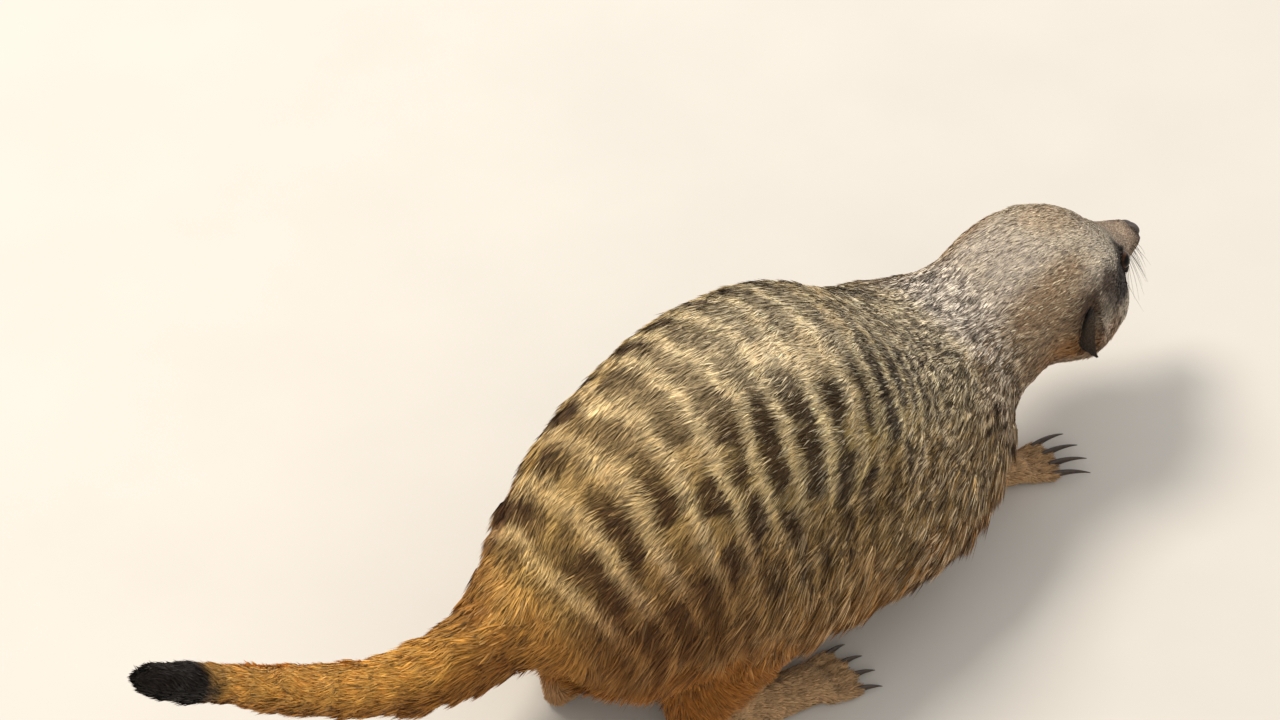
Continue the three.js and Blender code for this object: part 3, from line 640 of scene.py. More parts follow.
def markings(points, travel, around, zoneValues):  # the colour of the coat at places on the body
    z = dict(zip(zoneNames, zoneValues.T))
    forward, aside, up = onHead(points)
    out = np.abs(aside)
    side = np.abs(around)
    wide = noise(points, 16 * mm, 3) - 0.5
    fine = noise(points, 6 * mm, 4) - 0.5
    ragged = side + 0.3 * wide
    pastStart = travel - bandStart
    pastRump = travel - travelOf["rump"]

    rumpness = ease(travelOf["loins"] - 10 * mm, travelOf["rump"] + 20 * mm, travel)
    foreness = ease(travelOf["shoulders"] + 50 * mm, travelOf["shoulders"] - 20 * mm, travel)
    # painted shade: umber deepening towards the rump's end, more down its sides than on top
    rumpEndShade = ease(10 * mm, 55 * mm, pastRump) * (0.4 + 0.6 * ease(0.0, 0.6, side))
    # low on the hindquarters: the coat's richer colour, deepened with painted shade
    hind = rumpness * ease(0.75, 1.5, ragged)

    # bands
    turns = np.interp(pastStart + 0.4 * mm, bandTravel, bandTurns)
    turns = turns + (noise(points, bandPlan["lump"], 5) - 0.5) * 2 * bandPlan["waver"]
    wave = np.cos(2 * math.pi * turns)
    rows = np.cos(2 * math.pi * (side / bandPlan["row"] + 0.38 * np.round(turns) + 0.5 * wide))
    lumps = noise(points + 0.2, bandPlan["lump"] * 0.75, 6) + 0.03
    lumps = lumps + 0.2 * rows * ease(12 * mm, 50 * mm, pastStart)
    swell = np.minimum(1.5 * (lumps - bandPlan["broken"]) + 0.9 * fine, 0.25)
    whole = ease(bandPlan["broken"] - 0.12, bandPlan["broken"] + 0.1, lumps + 0.3 * fine)
    spread = ease(0, 9 * mm, pastStart)
    for fading in (
        ease(1.9, 2.35, ragged),
        ease(14 * mm, 46 * mm, pastRump) * 0.8,
        # bands fainter along the spine: part of a painted highlight on the top of the back
        ease(0.6, 0.15, side) * 0.22,
        ease(0.7, 1.3, side) * 0.35 * z["shoulder"],
        z["tail"],
        z["limb"],
        z["head"],
    ):
        spread = spread * (1 - fading)
    # paler along the spine ahead of the rump: partly pale hair, partly a painted highlight on the lit top of
    # the back
    crestPaleAndHighlight = ease(0.55, 0.1, side) * (1 - rumpness)
    lines = ease(-0.3, -0.9, wave) * (1 - 0.85 * ease(0.9, 1.6, side))
    dark = ease(-0.25, 0.35, wave + bandPlan["share"] + swell) * (0.2 + 0.8 * whole) * spread
    dark = dark * (0.96 - 0.3 * ease(1.2, 1.9, side)) * (1 - 0.2 * crestPaleAndHighlight)

    # neck and tail
    silver = ease(-6 * mm, 8 * mm, travelOf["neck"] + bandPlan["silverEnd"] - travel + 10 * mm * wide)
    silver = silver * ease(2.3, 1.6, side)
    rootShade = ease(travelOf["tail_middle"], travelOf["tail_root"] - 10 * mm, travel)
    tailBands = ease(0.2, 0.8, np.cos(travel / (2.1 * mm)) * 0.5 + (fine + 0.5) * 0.8)
    pastTip = travel - travelOf["tail_tip"] + 15 * mm
    colour = layered(
        palette["straw"],
        ("ochre", rumpness * 0.7 + 0.3 * ease(1.0, 1.7, side) * (1 - foreness)),
        ("greyTan", foreness * 0.8),
        # paler near the spine: pale hair and a painted highlight on the top of the back
        ("strawPale", ease(1.0, 0.3, side) * (1 - rumpness) * 0.9),
        ("grizzle", ease(0.8, 1.6, ragged) * 0.66),
        # umber low on the hindquarters and at the rump's end: partly the coat's own colour, partly painted
        # shade
        ("umber", np.maximum(hind * 0.74, rumpEndShade * 0.72)),
        ("worn", (1 - whole) * spread * 0.5),
        ("strawPale", lines * spread * (1 - 0.4 * rumpness) * 0.6),
        ("strawPale", crestPaleAndHighlight * 0.7),
        (layered(palette["band"], ("bandWarm", rumpness)), dark),
        ("rust", ease(1.7, 2.2, side + 0.25 * wide) * 0.8),
        ("belly", ease(2.4, 2.9, side) * 0.8),
        (layered(palette["silver"], ("neckSide", ease(0.35, 1.0, ragged))), silver * 0.94),
        ("tail", z["tail"]),
        ("rust", z["tail"] * ease(1.3, 2.3, side) * 0.75),
        # umber on the tail's root, most on its lower side: painted shade, with some of the root's darker fur
        ("umber", z["tail"] * rootShade * (0.55 + 0.35 * ease(0.1, 0.9, side))),
        ("bandWarm", z["tail"] * tailBands * 0.16 * ease(2.2, 1.4, side)),
        ("black", z["tail"] * ease(-5 * mm, 6 * mm, pastTip + 8 * mm * fine)),
        ("rust", z["limb"] * 0.9),
        ("foot", z["foot"] * 0.85),
    )

    # head
    behind = ease(12 * mm, 22 * mm, out) * ease(-18 * mm, -34 * mm, forward)
    cheek = ease(-1 * mm, -11 * mm, up) * ease(-10 * mm, -26 * mm, forward)
    cheek = cheek * ease(-66 * mm, -40 * mm, forward)
    flank = ease(6 * mm, 12 * mm, out)
    byEar = out > 18 * mm
    head = layered(
        palette["crown"],
        ("silver", ease(-26 * mm, -50 * mm, forward) * 0.7),
        ("headSide", behind * 0.85),
        ("crownPatch", ease(1.15, 0.4, oval("crest", forward, aside) + 0.3 * wide) * (up > 0) * 0.75),
        ("brow", bell(oval("brow", forward, up)) * flank * 0.8),
        ("cheek", cheek * 0.8),
        ("chin", ease(-15 * mm, -23 * mm, up) * 0.7),
        ("muzzle", ease(2 * mm, 13 * mm, forward) * 0.8),
        ("temple", ease(1.2, 0.5, oval("temple", forward, up) + 0.3 * fine) * flank * 0.92),
        ("patch", ease(1.1, 0.72, oval("patch", forward, up) + 0.2 * fine) * flank * 0.98),
        ("patch", ease(noseSpot[0] - 8 * mm, noseSpot[0] - 1 * mm, forward) * 0.5),
        ("earSkin", ease(1.05, 0.6, oval("hollow", forward, up)) * byEar * 0.95),
        ("brow", bell(oval("rim", forward, up)) * byEar * 0.6),
    )
    onEar = ease(0.3, 0.7, z["ear"])
    return layered(
        colour,
        (head, ease(0.25, 0.75, z["head"])),
        ("earSkin", onEar),
        ("earBack", onEar * ease(0.95, 1.25, oval("shell", forward, up)) * 0.45),
    )


sole = ease(1.2 * mm, 0.3 * mm, skinCo[:, 2])
skinColour = layered(
    markings(skinCo, skinTravel, skinRound, skinZones),
    ("black", ease(1.55, 1.15, lidEdge) * (lidEdge < 5)),
    ("sole", sole),
    ("lip", groove * 0.85),
)
print("markings laid")


# Materials.

class Wire:  # a socket of a shader; sums and products add Math nodes
    def __init__(self, shader, socket):
        self.shader = shader
        self.socket = socket

    def math(self, operation, *values):
        return self.shader.node("ShaderNodeMath", {"operation": operation}, dict(enumerate(values)), "Value")

    def __radd__(self, other):
        return self.math("ADD", other, self)

    def __mul__(self, other):
        return self.math("MULTIPLY", self, other)


class Shader:  # a material with one Principled surface
    def __init__(self, name, **fixed):
        self.material = bpy.data.materials.new(name)
        self.material.use_nodes = True
        self.tree = self.material.node_tree
        self.surface = self.tree.nodes["Principled BSDF"]
        for label, value in fixed.items():
            self.surface.inputs[label.replace("_", " ")].default_value = value

    def node(self, kind, settings=None, inputs=None, output=0):
        made = self.tree.nodes.new(kind)
        for key, value in (settings or {}).items():
            setattr(made, key, value)
        for socket, value in (inputs or {}).items():
            self.feed(made.inputs[socket], value)
        return Wire(self, made.outputs[output])

    def feed(self, socket, value):
        if isinstance(value, Wire):
            self.tree.links.new(value.socket, socket)
        else:
            socket.default_value = value

    def set(self, label, value):
        self.feed(self.surface.inputs[label], value)

    def place(self):
        return self.node("ShaderNodeTexCoord", output="Object")

    def noise(self, scale, detail=3.0, roughness=0.5):
        inputs = {"Vector": self.place(), "Scale": scale, "Detail": detail, "Roughness": roughness}
        return self.node("ShaderNodeTexNoise", inputs=inputs, output="Fac")

    def ramp(self, factor, *stops):  # two stops, each a place and a colour
        wire = self.node("ShaderNodeValToRGB", inputs={"Fac": factor}, output="Color")
        for element, (place, colour) in zip(wire.socket.node.color_ramp.elements, stops):
            element.position = place
            element.color = (*colour, 1)
        return wire

    def bump(self, height, strength, distance):
        inputs = {"Height": height, "Strength": strength, "Distance": distance}
        return self.node("ShaderNodeBump", inputs=inputs, output="Normal")

    def painted(self):  # the colours kept on the mesh's own vertices
        return self.node("ShaderNodeAttribute", {"attribute_name": "tint"}, output="Color")

    def shaded(self, tone, low, high, darkest):  # those colours, darker where the tone is low
        shade = self.ramp(tone, (low, (darkest,) * 3), (high, (1.0,) * 3))
        settings = {"data_type": "RGBA", "blend_type": "MULTIPLY"}
        self.set("Base Color", self.node("ShaderNodeMix", settings, {0: 1.0, 6: self.painted(), 7: shade}, 2))


def coatFinish(name, roughness, sheen):
    shader = Shader(name, Specular_IOR_Level=0.2, Sheen_Weight=sheen, Sheen_Roughness=0.45)
    streak = shader.noise(260.0, 2.0)
    shader.shaded(streak, 0.25, 0.8, 0.86)
    shader.set("Roughness", roughness + streak * 0.15)
    return shader


def paint(mesh, colours):
    layer = mesh.color_attributes.new("tint", "FLOAT_COLOR", "POINT")
    rgba = np.ones((len(colours), 4), np.float32)
    rgba[:, :3] = colours
    layer.data.foreach_set("color", rgba.ravel())


underCoat = Shader("underCoat", Roughness=0.8, Specular_IOR_Level=0.2)
grain = underCoat.noise(900.0, 4.0, 0.65)
underCoat.shaded(grain, 0.3, 0.75, 0.55)
underCoat.set("Normal", underCoat.bump(grain, 0.5, 0.0006))
skinMesh.materials.clear()
skin = newObject("skin", skinMesh, "coat_back", underCoat)
skinMesh.polygons.foreach_set("use_smooth", np.ones(len(skinMesh.polygons), bool))
# the skin is painted at four fifths of the coat's colours: painted shade under the coat
paint(skinMesh, skinColour * 0.8)
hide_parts(*fleshNodes)
bpy.context.view_layer.objects.active = skin
skin.select_set(True)
bpy.ops.object.mode_set(mode="EDIT")
bpy.ops.mesh.select_all(action="SELECT")
bpy.ops.uv.smart_project(angle_limit=math.radians(70), island_margin=0.001)
bpy.ops.object.mode_set(mode="OBJECT")
skin.select_set(False)
skinMesh.uv_layers.active.name = "OFBake"
print("skin unwrapped")

# Eyes: a ball with a raised cornea, brown iris and a wide dark pupil.

eyePlan = {
    "cornea": 0.45 * mm,  # how far it stands out
    "iris": 0.98,  # radians from the middle of the cornea
    "pupil": 0.6,
    "irisDark": linear(46, 26, 14),
    "irisPale": linear(86, 50, 24),
    "rim": linear(16, 11, 9),
    "black": linear(6, 5, 5),
    "rings": 40,
    "sides": 56,
}


def ball(rings, sides):  # unit sphere about +Z, with its poles as single points
    angles = np.linspace(0, math.pi, rings + 1)[1:-1]
    turns = np.linspace(0, 2 * math.pi, sides, endpoint=False)
    sin, cos = math.sin, math.cos
    ring = [[sin(a) * cos(t), sin(a) * sin(t), cos(a)] for a in angles for t in turns]
    verts = np.array([[0, 0, 1], *ring, [0, 0, -1]])
    faces = tubeFaces(rings - 2, sides, 1, flip=True)
    last = len(verts) - 1
    for n in range(sides):
        after = (n + 1) % sides
        faces += [(0, 1 + n, 1 + after), (last, last - sides + after, last - sides + n)]
    return verts, faces


wetEye = Shader("wetEye", Roughness=0.07, Specular_IOR_Level=0.12)
wetEye.set("Base Color", wetEye.painted())
for side, sign in bothSides.items():
    outward = unit(0.5 * headForward + 0.84 * sign * headLeft + 0.2 * headUp)
    long = unit(headForward - dot(headForward, outward) * outward)
    high = np.cross(outward, long)
    verts, faces = ball(eyePlan["rings"], eyePlan["sides"])
    fromPole = np.arccos(np.clip(verts[:, 2], -1, 1))
    bulge = eyePlan["cornea"] / eyeRadius * np.exp(-((fromPole / 0.62) ** 4))
    turned = verts[:, :1] * long + verts[:, 1:2] * high + verts[:, 2:] * outward
    place = eyeMiddles[side] + turned * (eyeRadius * (0.985 + bulge))[:, None]
    x, y = verts[:, 0], verts[:, 1]
    pupil = np.sqrt((x / (eyePlan["pupil"] * 1.25)) ** 2 + (y / (eyePlan["pupil"] * 0.85)) ** 2)
    spokes = noise(np.stack([np.arctan2(y, x), fromPole * 0.3, fromPole * 0], 1), 0.12, 9)
    tint = layered(
        eyePlan["irisDark"],
        (eyePlan["irisPale"], spokes),
        (eyePlan["rim"], ease(0.72, eyePlan["iris"], fromPole)),
        (eyePlan["black"], ease(1.1, 0.85, pupil)),
    )
    mesh = meshFrom("eye_" + side, place, faces)
    paint(mesh, tint)
    eyeball = newObject("eyeball_" + side, mesh, "eyeball", wetEye)
    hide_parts("eye_" + side)
print("eyes made")


# Nose: a rounded pad with two comma nostrils and a groove down its middle.

nosePlan = {
    "half": np.array([3.5, 4.5, 3.5]) * mm,  # ahead, across and up
    "back": 0.5 * mm,
    "flat": 0.3,  # how much the front is flattened
    "nostril": 0.9 * mm,
    "groove": 0.35 * mm,
    "rings": 48,
    "sides": 64,
}


def nosePad():
    half = nosePlan["half"]
    verts, faces = ball(nosePlan["rings"], nosePlan["sides"])
    ahead, left, top = verts[:, 2], verts[:, 0], verts[:, 1]
    square = 1 + 0.4 * np.abs(left * top) * (ahead > -0.3)
    front = ahead * (1 - nosePlan["flat"] * ease(0.3, 1.0, ahead)) - nosePlan["back"] / half[0]
    shape = np.stack([front * half[0], left * half[1] * square, top * half[2] * square], 1)
    shape[:, 1] *= 1 - 0.22 * ease(0.2, -1.0, top)
    for sign in (1, -1):
        hole = np.sqrt(((left - sign * 0.46) / 0.20) ** 2 + ((top - 0.02) / 0.26) ** 2)
        slope = top + 0.14 + 0.2 * (sign * left - 0.7)
        slit = np.sqrt(((left - sign * 0.74) / 0.24) ** 2 + (slope / 0.11) ** 2)
        pit = np.exp(-(hole ** 4)) + 0.6 * np.exp(-(slit ** 4))
        shape[:, 0] -= np.minimum(pit, 1.0) * 2.2 * nosePlan["nostril"] * (ahead > 0)
    line = bell(left / 0.06) * (ahead > 0.1) * (top < 0.35)
    shape[:, 0] -= line * nosePlan["groove"]
    place = noseMiddle + shape[:, :1] * headForward + shape[:, 1:2] * headLeft + shape[:, 2:] * headUp
    return meshFrom("nosePad", place, faces)


moistNose = Shader("moistNose", Specular_IOR_Level=0.45, Coat_Weight=0.25, Coat_Roughness=0.25)
cellInputs = {"Vector": moistNose.place(), "Scale": 2600.0}
cells = moistNose.node("ShaderNodeTexVoronoi", {"feature": "DISTANCE_TO_EDGE"}, cellInputs, "Distance")
mottle = moistNose.noise(500.0)
moistNose.set("Base Color", moistNose.ramp(mottle, (0.3, linear(40, 31, 28)), (0.75, linear(66, 52, 47))))
moistNose.set("Roughness", 0.42 + mottle * 0.2)
moistNose.set("Normal", moistNose.bump(cells, 0.6, 0.0003))
nosePiece = newObject("nose_pad", nosePad(), "nose_pad", moistNose)
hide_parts("nose")
print("nose made")


# Claws: curved horns with a ridge along the top, set in the toes.

clawPlan = {
    "hind": 1.45 * mm,  # radius at the root
    "fore": 1.55 * mm,
    "droop": 1.1 * mm,  # rise of the arch in a claw of the usual length
    "usual": 12 * mm,
    "sunk": 1.2 * mm,  # how far it runs back into the toe
    "clear": 0.1 * mm,  # over the floor
    "rings": 14,
    "sides": 14,
}


def clawMesh(name, root, tip, radius):
    heading = unit((tip - root) * np.array([1, 1, 0]))
    across = np.array([-heading[1], heading[0], 0])
    rise = np.array([0, 0, 1.0])
    length = np.linalg.norm(tip - root)
    rings, sides = clawPlan["rings"], clawPlan["sides"]
    verts = []
    for ring in range(rings + 1):
        t = ring / rings
        arch = clawPlan["droop"] * 4 * t * (1 - t) * length / clawPlan["usual"]
        middle = root + (tip - root) * t + rise * arch - heading * clawPlan["sunk"] * (1 - t)
        girth = radius * (1 - 0.9 * t ** 1.5)
        for n in range(sides):
            turn = 2 * math.pi * n / sides
            ridge = 1 + 0.22 * max(math.sin(turn), 0) ** 6
            point = middle + girth * (0.68 * math.cos(turn) * across + ridge * math.sin(turn) * rise)
            point[2] = max(point[2], clawPlan["clear"])
            verts.append(point)
    return meshFrom(name, np.array(verts), tubeFaces(rings, sides, capped=True))


horn = Shader("horn", Specular_IOR_Level=0.5, Coat_Weight=0.15, Coat_Roughness=0.3)
hornTone = horn.noise(700.0, 4.0, 0.6)
horn.set("Base Color", horn.ramp(hornTone, (0.25, linear(30, 22, 18)), (0.8, linear(78, 60, 48))))
horn.set("Roughness", 0.34 + hornTone * 0.25)
horn.set("Normal", horn.bump(horn.noise(1500.0, 2.0), 0.3, 0.0002))
for leg, claws in clawsOf.items():
    for number, (root, tip) in enumerate(claws, 1):
        name = f"claw_{leg}_{number}"
        mesh = clawMesh("horn_" + name, root, tip, clawPlan[leg[:4]])
        piece = newObject("horn_" + name, mesh, "claw_horn", horn)
        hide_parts(name)
print("claws made")


# Coat: thin tapering tufts rooted in the skin.

coatPlan = {
    "patch": 0.003,  # size of a tuft's patch on the unwrap
    "rootDepth": 0.25 * mm,  # how far a root is under the skin
    "clear": 0.3 * mm,  # over the floor
    "bareNose": 4.6 * mm,
    "pieceLimit": 185000,  # triangles in one piece
    "seed": 7,
}
dice = np.random.default_rng(coatPlan["seed"])
tuftDensity = region.table(1, 12) / mm ** 2
tuftLength = region.table(2) * mm
tuftWidth = region.table(3) * mm
tuftLift = np.radians(region.table(4))
forward, aside, up = onHead(skinCo)
onFace = ease(-16 * mm, 10 * mm, forward) * zones["head"]
tuftLength *= 1 - 0.62 * onFace
tuftWidth *= 1 - 0.35 * onFace
tuftDensity *= 1 + 0.7 * onFace
byEar = np.sqrt((forward - earSpot[0] - 3 * mm) ** 2 + (up - earSpot[2]) ** 2) * (np.abs(aside) > 18 * mm)
tuftLength *= np.where(byEar > 0, mix(0.45, 1, ease(7 * mm, 13 * mm, byEar)), 1)
lipHeight = up - noseSpot[2] + facePlan["mouthDrop"]
byMouth = bell(lipHeight / (2.4 * mm)) * ease(-4 * mm, 8 * mm, forward)
tuftLength *= 1 - 0.45 * byMouth
onTrunk = region.zone(*trunkKinds[1:], rounds=30)
skirt = ease(1.35, 1.9, np.abs(skinRound)) * onTrunk * (1 - zones["limb"])
tuftLength *= 1 + 0.6 * skirt
tuftDensity *= 1 - 0.15 * skirt
bare = (sole > 0.3) | (lidEdge < 1.12) | (groove * onMuzzle > 0.45)
bare |= np.linalg.norm(skinCo - noseMiddle, axis=1) < coatPlan["bareNose"]
tuftDensity[bare] = 0

skinTris = meshTriangles(skinMesh)
triUv = read(skinMesh.uv_layers["OFBake"].data, "uv", 2)[meshTriangles(skinMesh, "loops")]
corners = skinCo[skinTris]
triArea = np.linalg.norm(np.cross(corners[:, 1] - corners[:, 0], corners[:, 2] - corners[:, 0]), axis=1) / 2
triCount = triArea * tuftDensity[skinTris].mean(1)
tuftTotal = int(triCount.sum())
targets = (np.arange(tuftTotal) + dice.random(tuftTotal)) / tuftTotal * triCount.sum()
tuftTri = np.minimum(np.searchsorted(np.cumsum(triCount), targets), len(triCount) - 1)
u, v = dice.random(tuftTotal), dice.random(tuftTotal)
flip = u + v > 1
u, v = np.where(flip, 1 - u, u), np.where(flip, 1 - v, v)
weights = np.stack([1 - u - v, u, v], 1)[:, :, None]
rootCorner = skinTris[tuftTri, 0]


def atRoots(values):  # the skin's values blended at each tuft's root
    blend = weights if values.ndim > 1 else weights[:, :, 0]
    return (values[skinTris[tuftTri]] * blend).sum(1)


root = atRoots(skinCo)
normal = unit(atRoots(skinNormals))
flow = atRoots(skinFlow)
rootUv = (triUv[tuftTri] * weights).sum(1)
length, width, lift = (atRoots(values) for values in (tuftLength, tuftWidth, tuftLift))
rootZones = atRoots(skinZones)
inZone = {name: rootZones[:, n] for n, name in enumerate(zoneNames)}
rootSkirt = atRoots(skirt)
rootRound, rootTravel, rootKind = (values[rootCorner] for values in (skinRound, skinTravel, region.kind))
print("tufts rooted:", tuftTotal)

# lie: the flow, turned a little tuft by tuft and lock by lock
swirl = (noise(root, 7 * mm, 21) - 0.5) * 0.75 + (noise(root, 22 * mm, 22) - 0.5) * 0.4
turn = swirl * (1 - 0.65 * inZone["head"]) + dice.normal(0, 0.13, tuftTotal)
flow = unit(flow - dot(flow, normal) * normal)
beside = np.cross(normal, flow)
flow = flow * np.cos(turn)[:, None] + beside * np.sin(turn)[:, None]
beside = np.cross(normal, flow)
shag = noise(root, 5 * mm, 23)
lift = lift * (0.62 + 0.38 * ease(0.5, 1.4, np.abs(rootRound)))
length = length * (0.78 + 0.4 * dice.random(tuftTotal)) * (0.85 + 0.3 * shag)
length *= 1 - 0.6 * ease(0.2, 0.85, normal @ spineAlong[-1]) * inZone["tip"]  # round the tail's end
lift = lift * (0.55 + 0.9 * shag) + dice.normal(0, 0.05, tuftTotal)
width = width * (0.75 + 0.5 * dice.random(tuftTotal))
roll = dice.normal(0, 0.5, tuftTotal)
facing = beside * np.cos(roll)[:, None] + normal * np.sin(roll)[:, None]

# colour of each tuft: the marking under its middle, darker or paler hair by hair
stray = dice.normal(0, 0.5 * mm, tuftTotal)  # blurs the edges of the bands hair by hair
alongTail = np.sum(flow * spineAlong[nearestSpine(root)], 1)


def tuftMarkings(share):  # the markings under each tuft, so far along it
    reach = share * length + stray
    return markings(root + flow * reach[:, None], rootTravel + reach * alongTail, rootRound, rootZones)


tuftColour = tuftMarkings(0.5)
tipColour = tuftMarkings(0.9)
clump = noise(root, 1.7 * mm, 31)
hindness = ease(travelOf["loins"], travelOf["rump"], rootTravel)
lowness = ease(0.8, 1.6, np.abs(rootRound))
flanks = 0.6 * lowness * (1 - hindness) * (1 - inZone["head"]) * (1 - inZone["limb"])
ticked = np.clip(inZone["neck"] + 0.8 * inZone["shoulder"] + flanks, 0, 1)
tone = (1 + dice.normal(0, 0.1, tuftTotal)) * (1 + (0.46 + 0.3 * ticked) * (clump - 0.5))
middleTone = 1 + dice.normal(0, 0.14, tuftTotal)
tipTone = np.where(dice.random(tuftTotal) < 0.3, 0.7, 1.1) + dice.normal(0, 0.08, tuftTotal)
chance = 0.12 + 0.2 * ticked
for zone, fading in {"head": 0.55, "tail": 0.5, "limb": 0.7}.items():
    chance = chance * (1 - fading * inZone[zone])
pick = dice.random(tuftTotal)
brightness = tuftColour.mean(1)
isDark = (pick < chance) & (brightness > 0.06)
barred = (brightness > 0.02) & (inZone["tip"] < 0.3) & (inZone["head"] < 0.3)
isPale = (pick > 0.8) & (brightness > 0.09) | (pick > 0.9) & barred
paleness = 0.45 * (1 - 0.6 * lowness) * (1 - 0.35 * hindness) + 0.15 * ticked
paleHair = layered(
    palette["paleHair"],
    ("paleHind", np.maximum(hindness, 0.6 * lowness)),
    ("paleNeck", inZone["neck"]),
    ("paleShoulder", 0.7 * inZone["shoulder"]),
)


def ticking(colour):  # dark and pale locks, then single dark and pale hairs
    colour = layered(
        colour,
        ("darkHair", 0.5 * ticked * ease(0.45, 0.35, clump)),
        (paleHair, 0.45 * ticked * ease(0.55, 0.66, clump)),
        ("darkHair", 0.7 * isDark),
        (paleHair, paleness * isPale),
    )
    return np.clip(colour * tone[:, None], 0.002, 1)


tuftColour = ticking(tuftColour)
tipColour = ticking(tipColour)


def tufts(chosen, stops):  # strips through the given stops: (how far along, share of the width, darkness)
    n, k = len(chosen), len(stops)
    verts = np.empty((n, 2 * k - 1, 3))
    tints = np.empty((n, 2 * k - 1, 3))
    patch = np.empty((n, 2 * k - 1, 2))
    rise = np.tan(lift[chosen])
    hang = rootSkirt[chosen] * 0.16
    for step, (t, share, tone) in enumerate(stops):
        height = length[chosen] * (rise * t - 0.5 * rise * t * t) - coatPlan["rootDepth"] * (t == 0)
        spot = root[chosen] + flow[chosen] * (length[chosen] * t)[:, None] + normal[chosen] * height[:, None]
        spot[:, 2] -= length[chosen] * hang * t * t
        half = facing[chosen] * (width[chosen] * share / 2)[:, None]
        last = step == k - 1
        for side in ((0,) if last else (-1, 1)):
            slot = 2 * step + (side > 0)
            verts[:, slot] = spot + side * half
            colour, shade = (tipColour, tipTone) if last else (tuftColour, middleTone)
            tints[:, slot] = colour[chosen] * (tone * shade[chosen])[:, None]
            patch[:, slot] = rootUv[chosen] + np.array([side * 0.5, t - 0.5]) * coatPlan["patch"]
    verts[:, :, 2] = np.maximum(verts[:, :, 2], coatPlan["clear"])
    strip = [row for a in range(0, 2 * k - 4, 2) for row in ([a, a + 1, a + 3], [a, a + 3, a + 2])]
    strip.append([2 * k - 4, 2 * k - 3, 2 * k - 2])
    faces = (np.array(strip)[None] + (np.arange(n) * (2 * k - 1))[:, None, None]).reshape(-1, 3)
    return verts.reshape(-1, 3), faces, tints.reshape(-1, 3), patch.reshape(-1, 2)


# the third value darkens each tuft at its root: painted shade deep in the coat
longStops = [(0, 0.85, 0.5), (0.5, 1.0, 0.95), (1, 0, 1.15)]
shortStops = [(0, 0.9, 0.62), (0.5, 0.95, 0.96), (1, 0, 1.1)]


def coatPiece(name, chosen, stops, finish, slot):
    verts, faces, tints, patch = tufts(chosen, stops)
    mesh = meshFrom(name, verts, faces)
    paint(mesh, tints)
    layer = mesh.uv_layers.new(name="OFBake")
    layer.data.foreach_set("uv", np.clip(patch[faces.ravel()], 0, 1).astype(np.float32).ravel())
    newObject(name, mesh, slot, finish)
    return len(faces)


longHair = coatFinish("coatHair", 0.6, 0.08)
shortHair = coatFinish("shortHair", 0.6, 0.15)
coatParts = [
    ("headCoat", ("head", "ear", "eye", "nose"), shortStops, shortHair, "coat_grey"),
    ("neckCoat", ("neck",), longStops, longHair, "coat_grey"),
    ("shoulderCoat", ("shoulders", "upper_arm"), longStops, longHair, "coat_back"),
    ("loinCoat", ("loins",), longStops, longHair, "coat_back"),
    ("rumpCoat", ("rump", "thigh"), longStops, longHair, "coat_back"),
    ("tailCoat", ("tail_root", "tail_middle", "tail_end"), longStops, longHair, "coat_tan"),
    ("tipCoat", ("tail_tip",), longStops, longHair, "coat_dark"),
    ("legCoat", ("shank", "forearm"), shortStops, shortHair, "coat_tan"),
    ("footCoat", ("foot",), shortStops, shortHair, "skin_foot"),
]
coatTotal = 0
for name, members, stops, finish, slot in coatParts:
    chosen = np.flatnonzero(np.isin(rootKind, [kinds.index(kind) for kind in members]))
    trisEach = 2 * len(stops) - 3
    count = math.ceil(len(chosen) * trisEach / coatPlan["pieceLimit"])
    for number, share in enumerate(np.array_split(chosen, max(count, 1)), 1):
        coatTotal += coatPiece(f"{name}_{number}", share, stops, finish, slot)
print("coat triangles:", coatTotal)


# Whiskers: fine tapering bristles on the muzzle and over the eyes.

whiskerPlan = {
    "radius": 0.13 * mm,
    "droop": 0.25,
    "rows": 4,
    "columns": 5,
    "brow": 3,  # bristles over each eye
    "browLength": 9 * mm,
    "steps": 6,
    "sides": 3,
    "seed": 12,
}
skinTree = treeOf(skinCo, skinTris)


def whiskers():
    dice = np.random.default_rng(whiskerPlan["seed"])
    steps, sides = whiskerPlan["steps"], whiskerPlan["sides"]
    verts, faces = [], []

    def growHair(start, way, length):
        point, away, _, _ = skinTree.find_nearest(Vector(start))
        point, away = np.array(point), np.array(away)
        bend = unit(np.cross(way, np.array([0.1, 0.2, 1.0]))) * dice.normal(0, 0.1)
        bend = bend + down * whiskerPlan["droop"]
        side = unit(np.cross(way, away + 0.01))
        other = np.cross(way, side)
        faces.extend(tubeFaces(steps, sides, len(verts)))
        for step in range(steps + 1):
            t = step / steps
            middle = point + length * (way * t + bend * t * t)
            girth = whiskerPlan["radius"] * (1 - 0.85 * t)
            for n in range(sides):
                turn = 2 * math.pi * n / sides
                verts.append(middle + girth * (math.cos(turn) * side + math.sin(turn) * other))

    for side, sign in bothSides.items():
        out = sign * headLeft
        for row in range(whiskerPlan["rows"]):
            for column in range(whiskerPlan["columns"]):
                back, high = (6 + 2.6 * column) * mm, (1.2 - 1.5 * row - 0.2 * column) * mm
                spot = fromHead(noseSpot[0] - back, sign * 8 * mm, noseSpot[2] + high)
                way = out * 0.9 - headForward * (0.25 + 0.15 * column) + headUp * (0.15 - 0.16 * row)
                way = unit(way + dice.normal(0, 0.07, 3))
                growHair(spot, way, (9 + 3.2 * column + dice.normal(0, 1.2)) * mm)
        for number in range(whiskerPlan["brow"]):
            spot = eyeMiddles[side] + headUp * 7 * mm + headForward * (number - 1) * 2 * mm
            growHair(spot, unit(headUp * 0.8 + out * 0.6 - headForward * 0.5), whiskerPlan["browLength"])
    return meshFrom("whiskers", np.array(verts), faces)


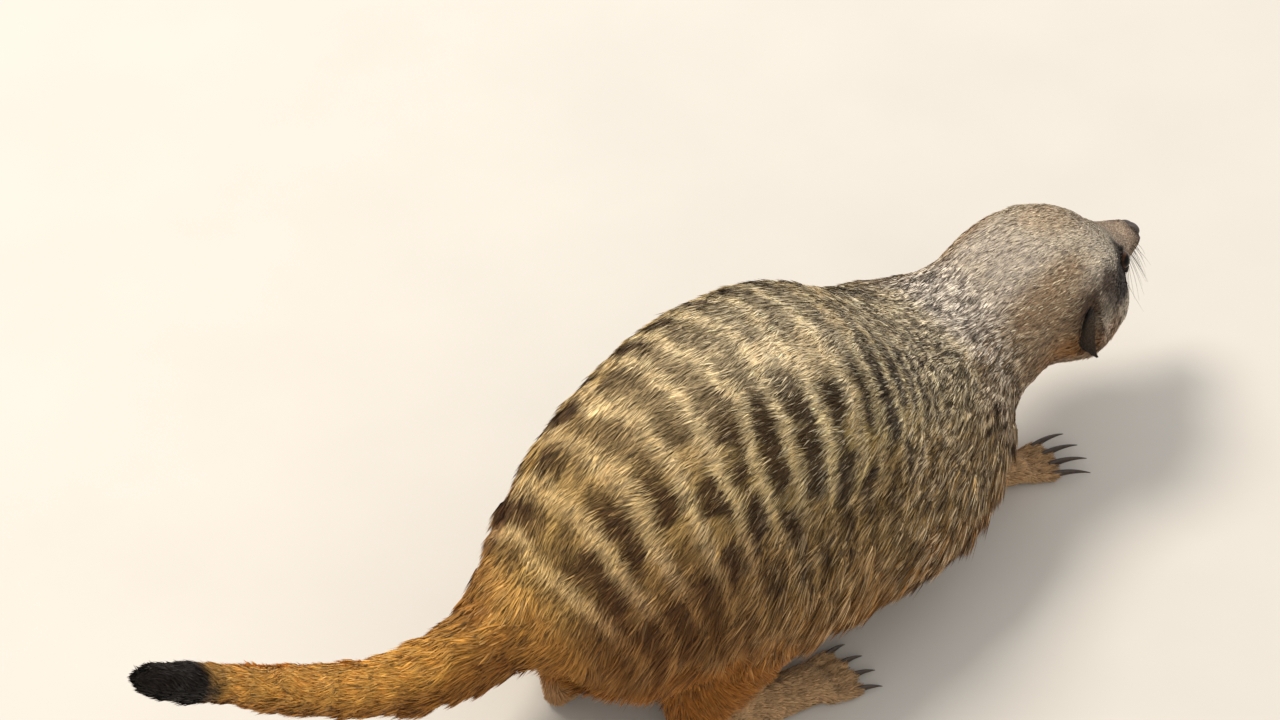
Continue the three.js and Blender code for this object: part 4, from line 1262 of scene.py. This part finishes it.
bristle = Shader("bristle", Roughness=0.4, Specular_IOR_Level=0.4)
bristleTone = bristle.noise(90.0)
bristle.set("Base Color", bristle.ramp(bristleTone, (0.3, linear(26, 20, 17)), (0.7, linear(60, 46, 38))))
newObject("whiskers", whiskers(), "coat_dark", bristle)
print("whiskers made")


# Floor, light and camera.

stagePlan = {
    "half": 6,  # half the width of the floor
    "floor": linear(204, 200, 194),
    "sky": linear(237, 236, 233),
    "skyPower": 0.8,
    "lamps": [  # name, place, width, power and colour
        ("key", (-0.4, 0.9, 1.9), 0.9, 43, linear(255, 246, 232)),
        ("fill", (-1.0, -1.4, 1.1), 1.6, 7.5, linear(255, 243, 226)),
        ("front", (1.7, 0.3, 1.0), 1.4, 6, linear(248, 248, 255)),
    ],
    "lit": (0, 0, 0.06),  # where the lamps point
    "distance": 1.6,
    "azimuth": -40,
    "elevation": 43,
    "lens": 128.25,
    "aim": (-0.0048, 0.0268, 0.1227),
}


def stage():
    half = stagePlan["half"]
    corners = [(-half, -half, 0), (half, -half, 0), (half, half, 0), (-half, half, 0)]
    floorMesh = meshFrom("floor", corners, [(0, 1, 2, 3)])
    shader = Shader("floorPaint", Roughness=0.85, Specular_IOR_Level=0.2)
    tone = shader.noise(14.0, 3.0)
    shader.set("Base Color", shader.ramp(tone, (0.3, stagePlan["floor"] * 0.96), (0.7, stagePlan["floor"])))
    floor = newObject("floor", floorMesh, None, shader)
    world = bpy.data.worlds.new("studio")
    world.use_nodes = True
    background = world.node_tree.nodes["Background"].inputs
    background["Color"].default_value = (*stagePlan["sky"], 1)
    background["Strength"].default_value = stagePlan["skyPower"]
    bpy.context.scene.world = world
    for name, place, size, power, colour in stagePlan["lamps"]:
        light = bpy.data.lights.new(name, "AREA")
        light.shape = "DISK"
        light.size = size
        light.energy = power
        light.color = colour
        lamp = linked(name, light)
        lamp.location = place
        lamp.rotation_euler = (Vector(stagePlan["lit"]) - Vector(place)).to_track_quat("-Z", "Y").to_euler()


def camera():
    azimuth, elevation = (math.radians(stagePlan[key]) for key in ("azimuth", "elevation"))
    level = math.cos(elevation)
    back = Vector((math.sin(azimuth) * level, -math.cos(azimuth) * level, math.sin(elevation)))
    data = bpy.data.cameras.new("camera")
    data.lens = stagePlan["lens"]
    data.sensor_width = 36
    eye = linked("camera", data)
    eye.location = Vector(stagePlan["aim"]) + back * stagePlan["distance"]
    eye.rotation_euler = (-back).to_track_quat("-Z", "Y").to_euler()
    bpy.context.scene.camera = eye


stage()
camera()
bpy.context.scene.view_settings.view_transform = "Standard"
